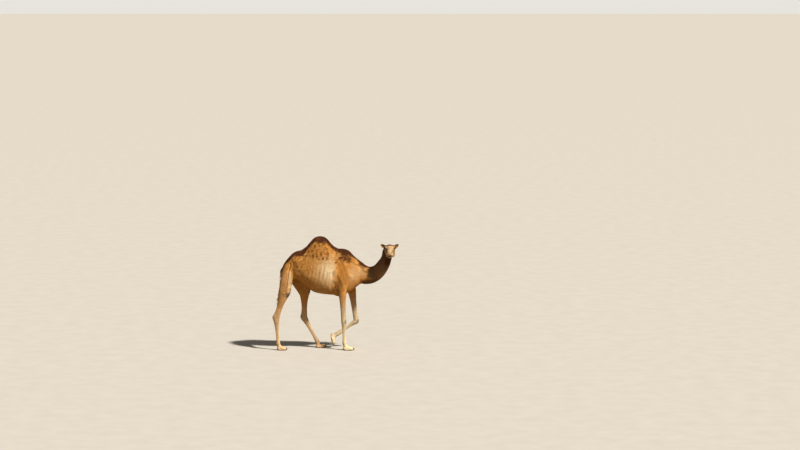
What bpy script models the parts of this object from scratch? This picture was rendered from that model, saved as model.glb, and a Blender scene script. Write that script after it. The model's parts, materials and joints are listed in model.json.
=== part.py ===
"""A dromedary camel at a walk, head turned to its right, as a life-size still model.

Metres, +Z up, +X the way it walks, +Y its left side. The origin is on the floor, under the
middle of the whole animal's box. Three feet stand on the floor and the left forefoot is lifted.

The flesh is modelled whole: ovals lofted along the trunk, neck, head and limbs, with muscles and
bony points added as ellipsoids, are fused by a voxel remesh, softened and thinned out. Thin cuts
then part it into the animal's own sub-parts. Eyes, ears, tail and toenails are let into it.
"""

import math

import bmesh
import bpy
import numpy as np
from mathutils import Matrix, Vector

# ---------------------------------------------------------------- driving sizes
HUMP_TOP = 2.04  # floor to the top of the hump
WITHERS_TOP = 1.81  # floor to the top of the shoulders
BACK = 1.79  # the back's own line under the hump
BARREL_HALF = 0.290  # half the width of the barrel of the belly
HEAD_LENGTH = 0.485  # back of the skull to the tip of the nose
EYE_RADIUS = 0.022
EAR_LENGTH = 0.115
FOOT_TREAD = 0.145  # the legs stand this far each side of the trunk's midline
FORE_ANKLE, HIND_ANKLE = 0.118, 0.113  # height of the fetlock over the sole
TO_ORIGIN = Vector((-0.010, 0.160, 0.0))  # from the trunk's midline to the whole box's middle

GAP = 0.0004  # between neighbouring sub-parts
ROUNDED = 0.8  # height of a loft's end dome against its radius
VOXEL = 0.011  # grain of the fused flesh
BODY_TRIANGLES = 2900  # left of trunk, neck and legs
FINE_TRIANGLES = 2000  # left of the head and the feet
LEFT, RIGHT = 1, -1

# ---------------------------------------------------------------- trunk, in upright slices
# x, belly line, level of the widest point, back line, half width
TRUNK = (
    (-0.940, 1.290, 1.37, 1.470, 0.050),
    (-0.905, 1.230, 1.38, 1.548, 0.095),
    (-0.860, 1.210, 1.40, 1.606, 0.135),
    (-0.800, 1.215, 1.42, 1.676, 0.170),
    (-0.720, 1.250, 1.44, 1.748, 0.198),
    (-0.620, 1.215, 1.41, 1.782, 0.222),
    (-0.500, 1.115, 1.37, BACK, 0.250),
    (-0.380, 1.030, 1.34, BACK, 0.276),
    (-0.250, 0.995, 1.32, BACK, BARREL_HALF),
    (-0.130, 0.980, 1.31, BACK, 0.284),
    (-0.040, 0.972, 1.31, 1.800, 0.256),
    (0.030, 0.968, 1.31, 1.812, 0.220),
    (0.100, 0.970, 1.32, 1.815, 0.190),
    (0.200, 0.990, 1.33, WITHERS_TOP, 0.172),
    (0.280, 1.030, 1.35, 1.764, 0.160),
    (0.360, 1.090, 1.37, 1.672, 0.144),
    (0.430, 1.140, 1.36, 1.585, 0.126),
    (0.480, 1.190, 1.36, 1.520, 0.100),
)
# x, top line, half width: the hump stands on the back, its foot sunk in it
HUMP_FOOT = 1.62
HUMP = (
    (-0.660, 1.730, 0.080),
    (-0.580, 1.794, 0.125),
    (-0.500, 1.858, 0.160),
    (-0.420, 1.952, 0.185),
    (-0.350, 2.020, 0.198),
    (-0.265, HUMP_TOP, 0.202),
    (-0.190, 2.034, 0.198),
    (-0.125, 1.992, 0.188),
    (-0.060, 1.914, 0.165),
    (0.000, 1.854, 0.135),
    (0.070, 1.824, 0.095),
)
# centre x, y, z; half width, upper and lower radius; how far it has turned to the right
NECK = (
    (0.280, 0.000, 1.420, 0.130, 0.270, 0.260, 0),
    (0.400, 0.000, 1.385, 0.120, 0.215, 0.215, 0),
    (0.505, 0.000, 1.350, 0.112, 0.175, 0.185, 0),
    (0.620, 0.000, 1.335, 0.102, 0.155, 0.165, 0),
    (0.715, -0.003, 1.362, 0.094, 0.140, 0.148, 4),
    (0.790, -0.012, 1.418, 0.088, 0.126, 0.134, 10),
    (0.845, -0.027, 1.485, 0.083, 0.119, 0.124, 18),
    (0.892, -0.050, 1.556, 0.080, 0.114, 0.116, 30),
    (0.924, -0.082, 1.632, 0.084, 0.108, 0.108, 46),
    (0.940, -0.125, 1.708, 0.094, 0.100, 0.098, 64),
    (0.950, -0.190, 1.765, 0.094, 0.090, 0.088, 80),
)
TAIL = (
    (-0.880, 0.0, 1.440, 0.030, 0.030, 0.030),
    (-0.926, 0.0, 1.425, 0.029, 0.029, 0.029),
    (-0.956, 0.0, 1.375, 0.023, 0.023, 0.023),
    (-0.970, 0.0, 1.280, 0.018, 0.017, 0.017),
    (-0.980, 0.0, 1.150, 0.017, 0.016, 0.016),
    (-0.988, 0.0, 1.040, 0.022, 0.019, 0.019),
    (-0.993, 0.0, 0.950, 0.025, 0.021, 0.021),
    (-0.993, 0.0, 0.870, 0.017, 0.016, 0.016),
    (-0.991, 0.0, 0.820, 0.007, 0.007, 0.007),
)

# x, z, half width: the muscle that runs from the pin bone down the back of the forward hind leg
HAMSTRING = (
    (-0.865, 1.430, 0.055),
    (-0.795, 1.320, 0.074),
    (-0.705, 1.190, 0.078),
    (-0.610, 1.040, 0.066),
    (-0.560, 0.900, 0.045),
)

# ---------------------------------------------------------------- head, in its own frame
# x from the back of the skull to the nose, y to its left, z up
# x, lower line, level of the widest point, upper line, half width
HEAD = (
    (0.000, -0.085, -0.010, 0.050, 0.062),
    (0.040, -0.118, -0.010, 0.086, 0.084),
    (0.090, -0.128, -0.005, 0.103, 0.094),
    (0.145, -0.124, 0.010, 0.109, 0.095),
    (0.195, -0.114, 0.012, 0.101, 0.086),
    (0.250, -0.106, 0.000, 0.078, 0.067),
    (0.310, -0.100, -0.012, 0.060, 0.054),
    (0.370, -0.097, -0.022, 0.052, 0.052),
    (0.420, -0.097, -0.030, 0.042, 0.058),
    (0.458, -0.086, -0.036, 0.018, 0.052),
    (HEAD_LENGTH - 0.008, -0.070, -0.040, -0.012, 0.034),
)
# bones and muscles on each side of the face: middle, radii, and tilt and turn in degrees
FACE = (
    ("brow", (0.160, 0.068, 0.072), (0.062, 0.032, 0.026), (10, 8)),
    ("cheekbone", (0.186, 0.068, 0.016), (0.074, 0.030, 0.024), (14, -12)),
    ("jaw_muscle", (0.092, 0.056, -0.050), (0.088, 0.042, 0.078), (0, 0)),
    ("jaw_bone", (0.220, 0.042, -0.086), (0.120, 0.022, 0.024), (-3, -6)),
    ("nostril_wing", (0.434, 0.034, -0.002), (0.034, 0.022, 0.026), (34, 0)),
)
HEAD_PLACE = Vector((0.985, -0.100, 1.797))
HEAD_HEADING = -89.0  # degrees round from straight ahead: it looks off to the right
HEAD_PITCH = -2.0  # degrees, nose down: it carries the nose a little up
EYE = (0.176, 0.082, 0.052)
EAR_ROOT = (0.062, 0.068, 0.036)
EAR_AIM = (-0.25, 0.82, 0.57)
# share of the ear's length, half width, thickness in front of and behind its middle
EAR = (
    (-0.10, 0.020, 0.015, 0.015),
    (0.14, 0.026, 0.013, 0.014),
    (0.38, 0.033, 0.009, 0.011),
    (0.62, 0.031, 0.007, 0.009),
    (0.84, 0.020, 0.006, 0.007),
    (0.97, 0.008, 0.005, 0.005),
)

# ---------------------------------------------------------------- limbs, as joints seen from the side
# Each joint is (x, z); the limb's own distance from the midline follows from its tables.
JOINTS = {
    "foreleg_right": {
        "top": (0.165, 1.620), "elbow": (0.138, 1.100), "knee": (0.166, 0.510),
        "fetlock": (0.178, FORE_ANKLE), "foot_turn": 0,
    },
    "foreleg_left": {
        "top": (0.200, 1.620), "elbow": (0.295, 1.090), "knee": (0.383, 0.485),
        "fetlock": (0.040, 0.242), "foot_turn": 80,
    },
    "hindleg_right": {
        "top": (-0.812, 1.500), "elbow": (-0.890, 1.050), "knee": (-1.037, 0.570),
        "fetlock": (-1.004, HIND_ANKLE), "foot_turn": 0,
    },
    "hindleg_left": {
        "top": (-0.770, 1.490), "elbow": (-0.545, 1.060), "knee": (-0.548, 0.540),
        "fetlock": (-0.318, HIND_ANKLE), "foot_turn": 0,
    },
}
# Along which bone (0 upper, 1 middle, 2 cannon) and how far down it, then
# distance from the midline, half width, and reach in front of and behind the line
FORELEG = (
    (0, 0.00, 0.100, 0.035, 0.080, 0.070),
    (0, 0.28, 0.140, 0.060, 0.135, 0.120),
    (0, 0.58, 0.160, 0.074, 0.172, 0.148),
    (0, 0.82, 0.160, 0.070, 0.130, 0.120),
    (1, 0.00, 0.158, 0.062, 0.092, 0.095),
    (1, 0.16, 0.154, 0.056, 0.080, 0.078),
    (1, 0.40, 0.150, 0.047, 0.060, 0.060),
    (1, 0.68, 0.147, 0.041, 0.049, 0.053),
    (1, 0.86, 0.146, 0.043, 0.052, 0.052),
    (1, 1.00, 0.145, 0.048, 0.056, 0.052),
    (2, 0.12, 0.145, 0.045, 0.050, 0.047),
    (2, 0.28, 0.145, 0.036, 0.038, 0.042),
    (2, 0.50, 0.145, 0.032, 0.034, 0.038),
    (2, 0.78, 0.145, 0.033, 0.033, 0.038),
    (2, 1.00, 0.145, 0.041, 0.038, 0.042),
)
HINDLEG = (
    (0, 0.00, 0.105, 0.060, 0.090, 0.080),
    (0, 0.30, 0.135, 0.082, 0.114, 0.106),
    (0, 0.65, 0.150, 0.085, 0.124, 0.114),
    (1, 0.00, 0.158, 0.074, 0.116, 0.110),
    (1, 0.18, 0.158, 0.062, 0.094, 0.096),
    (1, 0.38, 0.154, 0.050, 0.068, 0.072),
    (1, 0.62, 0.150, 0.038, 0.054, 0.058),
    (1, 0.84, 0.147, 0.036, 0.055, 0.066),
    (1, 0.97, 0.146, 0.037, 0.060, 0.082),
    (2, 0.10, 0.145, 0.039, 0.056, 0.062),
    (2, 0.28, 0.145, 0.034, 0.043, 0.048),
    (2, 0.52, 0.145, 0.029, 0.034, 0.040),
    (2, 0.78, 0.145, 0.030, 0.033, 0.038),
    (2, 1.00, 0.145, 0.038, 0.038, 0.042),
)

# centre, facing and radius of the round blades that part hump, neck and head from what carries them
BODY_BLADES = (
    ((-0.240, 0, 1.822), (0, 0, 1), 0.340),
    ((0.450, 0, 1.360), (1, 0, 0), 0.260),
    ((0.975, -0.130, 1.755), (0, -0.95, 0.305), 0.170),
)
# the same for the legs' roots, with distances out from the midline
LEG_ROOTS = {
    "foreleg_right": ((0.140, 0.160, 1.050), (0, -1, 1), 0.125),
    "foreleg_left": ((0.300, 0.160, 1.045), (0, -1, 1), 0.125),
    "hindleg_right": ((-0.872, 0.150, 1.230), (0, -1, 1), 0.175),
    "hindleg_left": ((-0.610, 0.150, 1.131), (0.38, -0.8, 1), 0.215),
}
CRUMB = 0.03  # loose bits shorter than this are swept away

# ---------------------------------------------------------------- building blocks
flesh_parts = []


def unit(rows):
    """Each row scaled to length one."""
    return rows / np.linalg.norm(rows, axis=-1, keepdims=True)


def threaded(rows, per_span=5):
    """Rows of numbers joined by a Catmull-Rom curve, with `per_span` rows to each gap."""
    rows = np.asarray(rows, float)
    guide = np.vstack([2 * rows[0] - rows[1], rows, 2 * rows[-1] - rows[-2]])
    share = (np.arange(per_span) / per_span)[:, None]
    spans = [
        0.5 * (2 * b + (c - a) * share + (2 * a - 5 * b + 4 * c - d) * share**2
               + (3 * b - a - 3 * c + d) * share**3)
        for a, b, c, d in zip(guide, guide[1:], guide[2:], guide[3:])
    ]
    return np.vstack([*spans, rows[-1:]])


def mesh_object(name, mesh, group="camel"):
    """A new object in one of the script's collections."""
    obj = bpy.data.objects.new(name, mesh)
    collections[group].objects.link(obj)
    return obj


def loft(name, rows, along=None, turns=None, broad=None, sides=28, per_span=5, roundness=(1.0, 1.0)):
    """A closed tube through rows of (x, y, z, half width, upper radius, lower radius).

    Each ring is an oval whose upper and lower halves have their own radii. It stands square to
    the line of centres, or to `along`. `turns` yaws each ring to the right, in degrees.
    `roundness` under 1 makes the upper and lower halves leaner, like a roof.
    """
    table = np.array([row[:6] for row in rows], float)
    yaw = np.radians(turns if turns is not None else np.zeros(len(rows)))
    line = threaded(np.column_stack([table, yaw]), per_span)
    centres, radii, yaw = line[:, :3], np.maximum(line[:, 3:6], 0.003), line[:, 6]
    tangents = np.gradient(centres, axis=0) if along is None else np.tile(along, (len(line), 1))
    tangents = unit(np.asarray(tangents, float))
    across = np.column_stack([np.sin(yaw), np.cos(yaw), np.zeros(len(yaw))])
    if broad is not None:
        across = np.tile(broad, (len(line), 1))
    across = unit(across - tangents * (across * tangents).sum(1, keepdims=True))
    upward = np.cross(tangents, across)

    # each end closes over a dome: rings that shrink while they step out
    lift = np.radians([65.0, 35.0])
    reach = ROUNDED * radii[[0, -1]].min(axis=1)[:, None] * np.sin(lift)
    first = centres[0] - tangents[0] * reach[0][:, None]
    last = centres[-1] + tangents[-1] * reach[1][::-1, None]
    centres = np.vstack([first, centres, last])
    shrink = np.cos(lift)[:, None]
    radii = np.vstack([radii[0] * shrink, radii, radii[-1] * shrink[::-1]])
    across, upward = (np.vstack([v[:1], v[:1], v, v[-1:], v[-1:]]) for v in (across, upward))

    angle = np.linspace(0, 2 * math.pi, sides, endpoint=False)
    cos, sin = np.cos(angle), np.sin(angle)
    lean = np.where(sin > 0, roundness[0], roundness[1])
    wide = np.sign(cos) * np.abs(cos) ** (1 / lean)
    height = np.where(sin > 0, radii[:, 1:2], radii[:, 2:3]) * sin
    points = (centres[:, None] + across[:, None] * (radii[:, :1] * wide)[..., None]
              + upward[:, None] * height[..., None])
    shell = bmesh.new()
    rings = [[shell.verts.new(p) for p in ring] for ring in points]
    for near, far in zip(rings, rings[1:]):
        for k in range(sides):
            shell.faces.new((near[k - 1], near[k], far[k], far[k - 1]))
    for ring, pole in ((rings[0], points[0].mean(axis=0)), (rings[-1], points[-1].mean(axis=0))):
        tip = shell.verts.new(pole)
        for k in range(sides):
            shell.faces.new((ring[k - 1], ring[k], tip))
    bmesh.ops.recalc_face_normals(shell, faces=shell.faces)
    bmesh.ops.triangulate(shell, faces=shell.faces, quad_method="FIXED")
    return object_from(shell, name)


def upright(rows):
    """Slices of (x, lower line, widest level, upper line, half width) as rows for a loft."""
    return [(x, 0.0, mid, half, top - mid, mid - low) for x, low, mid, top, half in rows]


def ellipsoid(name, centre, radii, turn=(0, 0, 0), segments=24, rings=14):
    """A UV sphere stretched to three radii, turned by degrees about x, y and z."""
    shell = bmesh.new()
    place = Matrix.Translation(centre)
    for axis, degrees in zip("XYZ", turn):
        place = place @ Matrix.Rotation(math.radians(degrees), 4, axis)
    place = place @ Matrix.Diagonal((*radii, 1))
    bmesh.ops.create_uvsphere(shell, u_segments=segments, v_segments=rings, radius=1, matrix=place)
    return object_from(shell, name)


def flesh(*objects):
    """Marks objects that are fused into the one body of flesh."""
    flesh_parts.extend(objects)


def moved(obj, place):
    """The object with its mesh carried by a matrix."""
    obj.data.transform(place)
    return obj


def points_of(mesh):
    """The mesh's vertices as an array of rows x, y, z."""
    points = np.empty(len(mesh.vertices) * 3)
    mesh.vertices.foreach_get("co", points)
    return points.reshape(-1, 3)


def object_from(shell, name, group="camel"):
    """An object from a bmesh, which is freed."""
    mesh = bpy.data.meshes.new(name)
    shell.to_mesh(mesh)
    shell.free()
    return mesh_object(name, mesh, group)


def baked(obj):
    """The object with its modifiers turned into plain mesh."""
    graph = bpy.context.evaluated_depsgraph_get()
    mesh = bpy.data.meshes.new_from_object(obj.evaluated_get(graph))
    obj.modifiers.clear()
    obj.data = mesh
    return obj


# ---------------------------------------------------------------- trunk, hump and neck
def build_trunk():
    flesh(loft("barrel", upright(TRUNK), along=(1, 0, 0), sides=40, roundness=(0.86, 1.0)))
    hump = [(x, 0.0, HUMP_FOOT, half, top - HUMP_FOOT, 0.08) for x, top, half in HUMP]
    flesh(loft("hump_rise", hump, along=(1, 0, 0), roundness=(0.90, 1.0)))
    flesh(loft("neck_column", NECK, turns=[row[6] for row in NECK]))
    flesh(ellipsoid("chest_pad", (0.090, 0, 0.985), (0.110, 0.070, 0.045)))
    flesh(ellipsoid("breast", (0.360, 0, 1.230), (0.110, 0.115, 0.110)))
    for side in (LEFT, RIGHT):
        flesh(ellipsoid("hip_bone", (-0.655, 0.135 * side, 1.590), (0.110, 0.070, 0.075)))
        flesh(ellipsoid("pin_bone", (-0.875, 0.080 * side, 1.430), (0.060, 0.045, 0.070)))
    hamstring = [(x, 0.118, z, half, half * 1.1, half) for x, z, half in HAMSTRING]
    flesh(loft("hamstring", hamstring))


# ---------------------------------------------------------------- head
def head_matrix():
    """From the head's own frame to the trunk's."""
    return (Matrix.Translation(HEAD_PLACE) @ Matrix.Rotation(math.radians(HEAD_HEADING), 4, "Z")
            @ Matrix.Rotation(math.radians(HEAD_PITCH), 4, "Y"))


def build_head():
    place = head_matrix()
    shapes = [
        loft("skull_and_muzzle", upright(HEAD), along=(1, 0, 0), roundness=(0.92, 0.95)),
        ellipsoid("upper_lip", (0.444, 0, -0.048), (0.044, 0.058, 0.038), (0, 8, 0)),
        ellipsoid("lower_lip", (0.420, 0, -0.094), (0.050, 0.040, 0.024), (0, -4, 0)),
        ellipsoid("nose_bridge", (0.380, 0, 0.020), (0.080, 0.034, 0.034), (0, 8, 0)),
        ellipsoid("crown", (0.075, 0, 0.060), (0.085, 0.062, 0.046), (0, -4, 0)),
        ellipsoid("throat_latch", (0.010, 0, -0.050), (0.080, 0.074, 0.080)),
    ]
    for side in (LEFT, RIGHT):
        for name, (x, y, z), radii, (tilt, turn) in FACE:
            shapes.append(ellipsoid(name, (x, y * side, z), radii, (0, tilt, turn * side)))
    flesh(*(moved(shape, place) for shape in shapes))


def eye_ball(name, side, swell=0.0):
    x, y, z = EYE
    radii = (EYE_RADIUS + swell,) * 3
    return moved(ellipsoid(name, (x, y * side, z), radii, segments=10, rings=7), head_matrix())


def ear_shell(name, side, swell=0.0):
    """A small leaf: a flattened loft from the root out along the ear's aim, cupped to the front."""
    mirror = Matrix.Diagonal((1, side, 1))
    root, aim = mirror @ Vector(EAR_ROOT), (mirror @ Vector(EAR_AIM)).normalized()
    rows = []
    for share, half, front, back in EAR:
        bow = Vector((-0.012 * math.sin(math.pi * max(share, 0)), 0, 0))
        centre = root + aim * (EAR_LENGTH * share) + bow
        rows.append((*centre, half + swell, front + swell, back + swell))
    ear = loft(name, rows, broad=(0.1, -0.62 * side, 0.80), sides=8, per_span=1)
    return moved(ear, head_matrix())


# ---------------------------------------------------------------- legs and feet
def joint_spots(name, *wanted):
    """A leg's joints as points at its distance from the midline."""
    side = LEFT if name.endswith("left") else RIGHT
    return [Vector((JOINTS[name][key][0], FOOT_TREAD * side, JOINTS[name][key][1])) for key in wanted]


def limb_rows(joints, table, side):
    """The limb's table laid along its own joints."""
    bones = [np.array(joints[name], float) for name in ("top", "elbow", "knee", "fetlock")]
    rows = []
    for bone, share, out, half, front, back in table:
        x, z = bones[bone] + (bones[bone + 1] - bones[bone]) * share
        rows.append((x, out * side, z, half, front, back))
    return rows


def foot_matrix(name, side):
    """From a foot's own frame, with the fetlock at its origin, to the trunk's."""
    x, z = JOINTS[name]["fetlock"]
    turn = Matrix.Rotation(math.radians(JOINTS[name]["foot_turn"]), 4, "Y")
    return Matrix.Translation((x, FOOT_TREAD * side, z)) @ turn


def foot_size(name):
    """Height of the ankle, and the foot's size against a forefoot's."""
    return (FORE_ANKLE, 1.0) if name.startswith("fore") else (HIND_ANKLE, 0.90)


def build_foot(name, side):
    """Pastern, pad and two toes, made with the fetlock at the origin and the sole below it."""
    ankle, size = foot_size(name)
    sole = -ankle
    shapes = [
        loft("pastern", (
            (-0.002, 0, 0.000, 0.036 * size, 0.034, 0.036),
            (0.018, 0, sole * 0.40, 0.044 * size, 0.036, 0.040),
            (0.045, 0, sole * 0.66, 0.056 * size, 0.040, 0.044),
        )),
        ellipsoid("sole_pad", (0.062 * size, 0, sole + 0.014), (0.092 * size, 0.082 * size, 0.024)),
        ellipsoid("heel", (0.010, 0, sole + 0.030), (0.046 * size, 0.060 * size, 0.036)),
    ]
    for toe in (LEFT, RIGHT):
        shapes.append(ellipsoid(
            "toe", (0.092 * size, 0.040 * size * toe, sole + 0.026),
            (0.076 * size, 0.041 * size, 0.033), (0, 8, 7 * toe),
        ))
    flesh(*(moved(shape, foot_matrix(name, side)) for shape in shapes))


def toenail(name, leg, side, toe, swell=0.0):
    """The nail over the front of one toe."""
    ankle, size = foot_size(leg)
    centre = (0.157 * size, 0.046 * size * toe, -ankle + 0.026)
    radii = [r + swell for r in (0.022, 0.014, 0.011)]
    nail = ellipsoid(name, centre, radii, (0, 38, 9 * toe), segments=7, rings=4)
    return moved(nail, foot_matrix(leg, side))


def build_limbs():
    for name, joints in JOINTS.items():
        side = LEFT if name.endswith("left") else RIGHT
        table = FORELEG if name.startswith("fore") else HINDLEG
        flesh(loft(name + "_column", limb_rows(joints, table, side)))
        build_foot(name, side)


# ---------------------------------------------------------------- fusing, softening, thinning
def joined(name, objects, group="camel"):
    """Several meshes as one object; the pieces stay separate bodies inside it."""
    whole = bmesh.new()
    for obj in objects:
        whole.from_mesh(obj.data)
        bpy.data.objects.remove(obj)
    return object_from(whole, name, group)


def weigh(body, name, weights):
    """A vertex group from one weight for each vertex."""
    group = body.vertex_groups.new(name=name)
    for index in np.flatnonzero(weights > 0):
        group.add([int(index)], float(weights[index]), "REPLACE")
    return group.name


def fineness(body):
    """1 on the head and the feet, 0 on the rest."""
    x, y, z = points_of(body.data).T
    head = (y < -0.115) & (z > 1.5)
    feet = z < 0.16
    lifted_x, lifted_z = JOINTS["foreleg_left"]["fetlock"]
    lifted = (np.hypot(x - lifted_x, z - lifted_z) < 0.06) & (y > 0)
    return (head | feet | lifted).astype(float)


def bulk(body):
    """1 on the trunk, shoulders and rump, easing to 0 at the neck and the legs."""
    x, _, z = points_of(body.data).T
    return np.clip((z - 1.04) / 0.12, 0, 1) * np.clip((0.62 - x) / 0.20, 0, 1)


def soften(body, group, rounds, flip=False):
    """Rounds off the part of the mesh in a vertex group, or with flip all the rest."""
    smooth = body.modifiers.new("soften", "SMOOTH")
    smooth.factor = 0.5
    smooth.iterations = rounds
    smooth.vertex_group = group
    smooth.invert_vertex_group = flip


def thin_out(body, wanted, flip=False):
    """Collapses the head and feet, or with flip all the rest, to a wanted number of triangles."""
    fine = fineness(body)
    triangles = body.data.loop_triangles
    corners = np.empty(len(triangles) * 3, np.int32)
    triangles.foreach_get("vertices", corners)
    inside = (fine[corners.reshape(-1, 3)].mean(axis=1) > 0.5) != flip
    thin = body.modifiers.new("thin", "DECIMATE")
    thin.ratio = float(1 - (inside.sum() - wanted) / len(triangles))
    thin.vertex_group = weigh(body, "thin", fine)
    thin.invert_vertex_group = flip
    thin.vertex_group_factor = 100.0
    baked(body)


def fuse():
    """All the flesh shapes as one closed, softened and thinned skin."""
    body = joined("flesh", flesh_parts)
    remesh = body.modifiers.new("fuse", "REMESH")
    remesh.mode = "VOXEL"
    remesh.voxel_size = VOXEL
    baked(body)
    soften(body, weigh(body, "bulk", bulk(body)), 60)
    fine = weigh(body, "fine", fineness(body))
    soften(body, fine, 10, flip=True)
    soften(body, fine, 3)
    baked(body)
    thin_out(body, BODY_TRIANGLES, flip=True)
    thin_out(body, FINE_TRIANGLES)
    body.vertex_groups.clear()
    return body


# ---------------------------------------------------------------- parting it into sub-parts
def disc(centre, normal, radius):
    """A round blade as thin as the gap."""
    shell = bmesh.new()
    place = Matrix.Translation(centre) @ Vector(normal).to_track_quat("Z", "Y").to_matrix().to_4x4()
    bmesh.ops.create_cone(
        shell, cap_ends=True, segments=24, radius1=radius, radius2=radius, depth=GAP, matrix=place,
    )
    return object_from(shell, "blade")


def leg_blades():
    """Three blades for each leg: at its root, its knee or hock, and its fetlock."""
    blades = []
    for name, ((x, out, z), (ahead, outward, up), reach) in LEG_ROOTS.items():
        side = LEFT if name.endswith("left") else RIGHT
        elbow, knee, fetlock = joint_spots(name, "elbow", "knee", "fetlock")
        blades.append(disc((x, out * side, z), (ahead, outward * side, up), reach))
        blades.append(disc(knee, (elbow - knee).normalized() + (knee - fetlock).normalized(), 0.095))
        blades.append(disc(fetlock, (knee - fetlock).normalized() + Vector((0, 0, 1)), 0.072))
    return blades


def as_cutter(name, objects):
    """Meshes joined as one cutter, which isn't part of the camel."""
    cutter = joined(name, objects, "cutters")
    cutter.hide_render = True
    cutter.display_type = "WIRE"
    return cutter


def cut(body, cutter):
    """Takes the cutter's shape out of the body."""
    knife = body.modifiers.new(cutter.name, "BOOLEAN")
    knife.operation = "DIFFERENCE"
    knife.solver = "EXACT"
    knife.object = cutter
    return baked(body)


def floor_block():
    """All that is under the soles: cutting it away leaves them flat."""
    shell = bmesh.new()
    place = Matrix.Translation((0, 0, -0.1)) @ Matrix.Diagonal((4, 2, 0.2, 1))
    bmesh.ops.create_cube(shell, size=1, matrix=place)
    return object_from(shell, "floor")


def inserts(swell=0.0):
    """The pieces that are let into the flesh, or with a swell the room that they need."""
    tail = [(*row[:3], *(radius + swell for radius in row[3:])) for row in TAIL]
    pieces = [loft("tail", tail, sides=8, per_span=1)]
    for side, word in ((LEFT, "left"), (RIGHT, "right")):
        pieces.append(eye_ball("eye_" + word, side, swell))
        pieces.append(ear_shell("ear_" + word, side, swell))
    for leg in JOINTS:
        side = LEFT if leg.endswith("left") else RIGHT
        for toe, place in ((side, "outer"), (-side, "inner")):
            pieces.append(toenail("nail_" + leg + "_" + place, leg, side, toe, swell))
    return pieces


def landmarks():
    """A point inside each sub-part of the flesh."""
    marks = {
        "trunk": Vector((-0.25, 0, 1.40)), "hump": Vector((-0.26, 0, 1.90)),
        "neck": Vector((0.74, 0, 1.40)), "head": HEAD_PLACE + Vector((0, -0.18, 0)),
    }
    for name in JOINTS:
        side = LEFT if name.endswith("left") else RIGHT
        elbow, knee, fetlock = joint_spots(name, "elbow", "knee", "fetlock")
        marks[name + "_upper"] = elbow.lerp(knee, 0.4)
        marks[name + "_lower"] = knee.lerp(fetlock, 0.5)
        marks[name + "_foot"] = foot_matrix(name, side) @ Vector((0.05, 0, -0.07))
    return marks


def connected(start_vert, waiting):
    """All vertices joined to the first by edges, taken out of those waiting."""
    found, edge_of_search = set(), [start_vert]
    while edge_of_search:
        vert = edge_of_search.pop()
        found.add(vert)
        for link in vert.link_edges:
            other = link.other_vert(vert)
            if other in waiting:
                waiting.remove(other)
                edge_of_search.append(other)
    return found


def part(body):
    """Separates the cut flesh into objects named for the landmark nearest each one's middle."""
    whole = bmesh.new()
    whole.from_mesh(body.data)
    bpy.data.objects.remove(body)
    marks = landmarks()
    waiting = set(whole.verts)
    while waiting:
        verts = sorted(connected(waiting.pop(), waiting), key=lambda vert: vert.index)
        faces = sorted({face for vert in verts for face in vert.link_faces}, key=lambda face: face.index)
        spots = np.array([vert.co for vert in verts])
        low, high = spots.min(axis=0), spots.max(axis=0)
        if np.linalg.norm(high - low) < CRUMB:
            continue
        middle = Vector((low + high) / 2)
        name = min(marks, key=lambda mark: (marks[mark] - middle).length)
        del marks[name]
        order = {vert: number for number, vert in enumerate(verts)}
        mesh = bpy.data.meshes.new(name)
        mesh.from_pydata(spots, [], [[order[vert] for vert in face.verts] for face in faces])
        mesh_object(name, mesh)
    whole.free()
    print("sub-parts not found:", sorted(marks))


def finish(obj, colour, roughness):
    """Gives a sub-part its material and its place over the origin."""
    paint = bpy.data.materials.new(obj.name)
    paint.use_nodes = True
    shader = paint.node_tree.nodes["Principled BSDF"]
    shader.inputs["Base Color"].default_value = (*colour, 1)
    shader.inputs["Roughness"].default_value = roughness
    shader.inputs["Metallic"].default_value = 0.0
    obj.data.materials.clear()
    obj.data.materials.append(paint)
    obj.data.transform(Matrix.Translation(TO_ORIGIN))
    obj.data.shade_smooth()


def colour_of(name):
    """Colour and roughness for a sub-part."""
    if name.startswith("eye"):
        return (0.020, 0.012, 0.008), 0.10
    if name.startswith("nail"):
        return (0.110, 0.085, 0.060), 0.50
    if name in ("hump", "tail"):
        return (0.200, 0.110, 0.055), 0.90
    if name.startswith("head") or "lower" in name or "foot" in name:
        return (0.620, 0.490, 0.320), 0.85
    return (0.500, 0.330, 0.170), 0.85


# ---------------------------------------------------------------- run
def start():
    """An empty scene with a collection for the camel and one for the cutters."""
    for obj in list(bpy.data.objects):
        bpy.data.objects.remove(obj)
    made = {}
    for group in ("camel", "cutters"):
        made[group] = bpy.data.collections.new(group)
        bpy.context.scene.collection.children.link(made[group])
    return made


collections = start()
build_trunk()
build_head()
build_limbs()
flesh_body = fuse()
cut(flesh_body, as_cutter("floor_cutter", [floor_block()]))
cut(flesh_body, as_cutter("blade_cutter", [disc(*blade) for blade in BODY_BLADES] + leg_blades()))
cut(flesh_body, as_cutter("insert_cutter", inserts(GAP)))
part(flesh_body)
inserts()
for node in collections["camel"].objects:
    finish(node, *colour_of(node.name))
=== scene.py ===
# %% [markdown]
# # A dromedary camel, dressed
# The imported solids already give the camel's true outline, parted at its joints like a museum
# model. This script puts the living surface over them: one unbroken skin, wet eyes under heavy
# lids, horny nails and callouses, and a coat of more than a hundred thousand small locks of hair.
# Everything is in metres, +Z is up, +X is the way the camel walks and +Y is its left side.

import json
import math

import bpy
import numpy as np
from mathutils import Matrix, Vector

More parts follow.
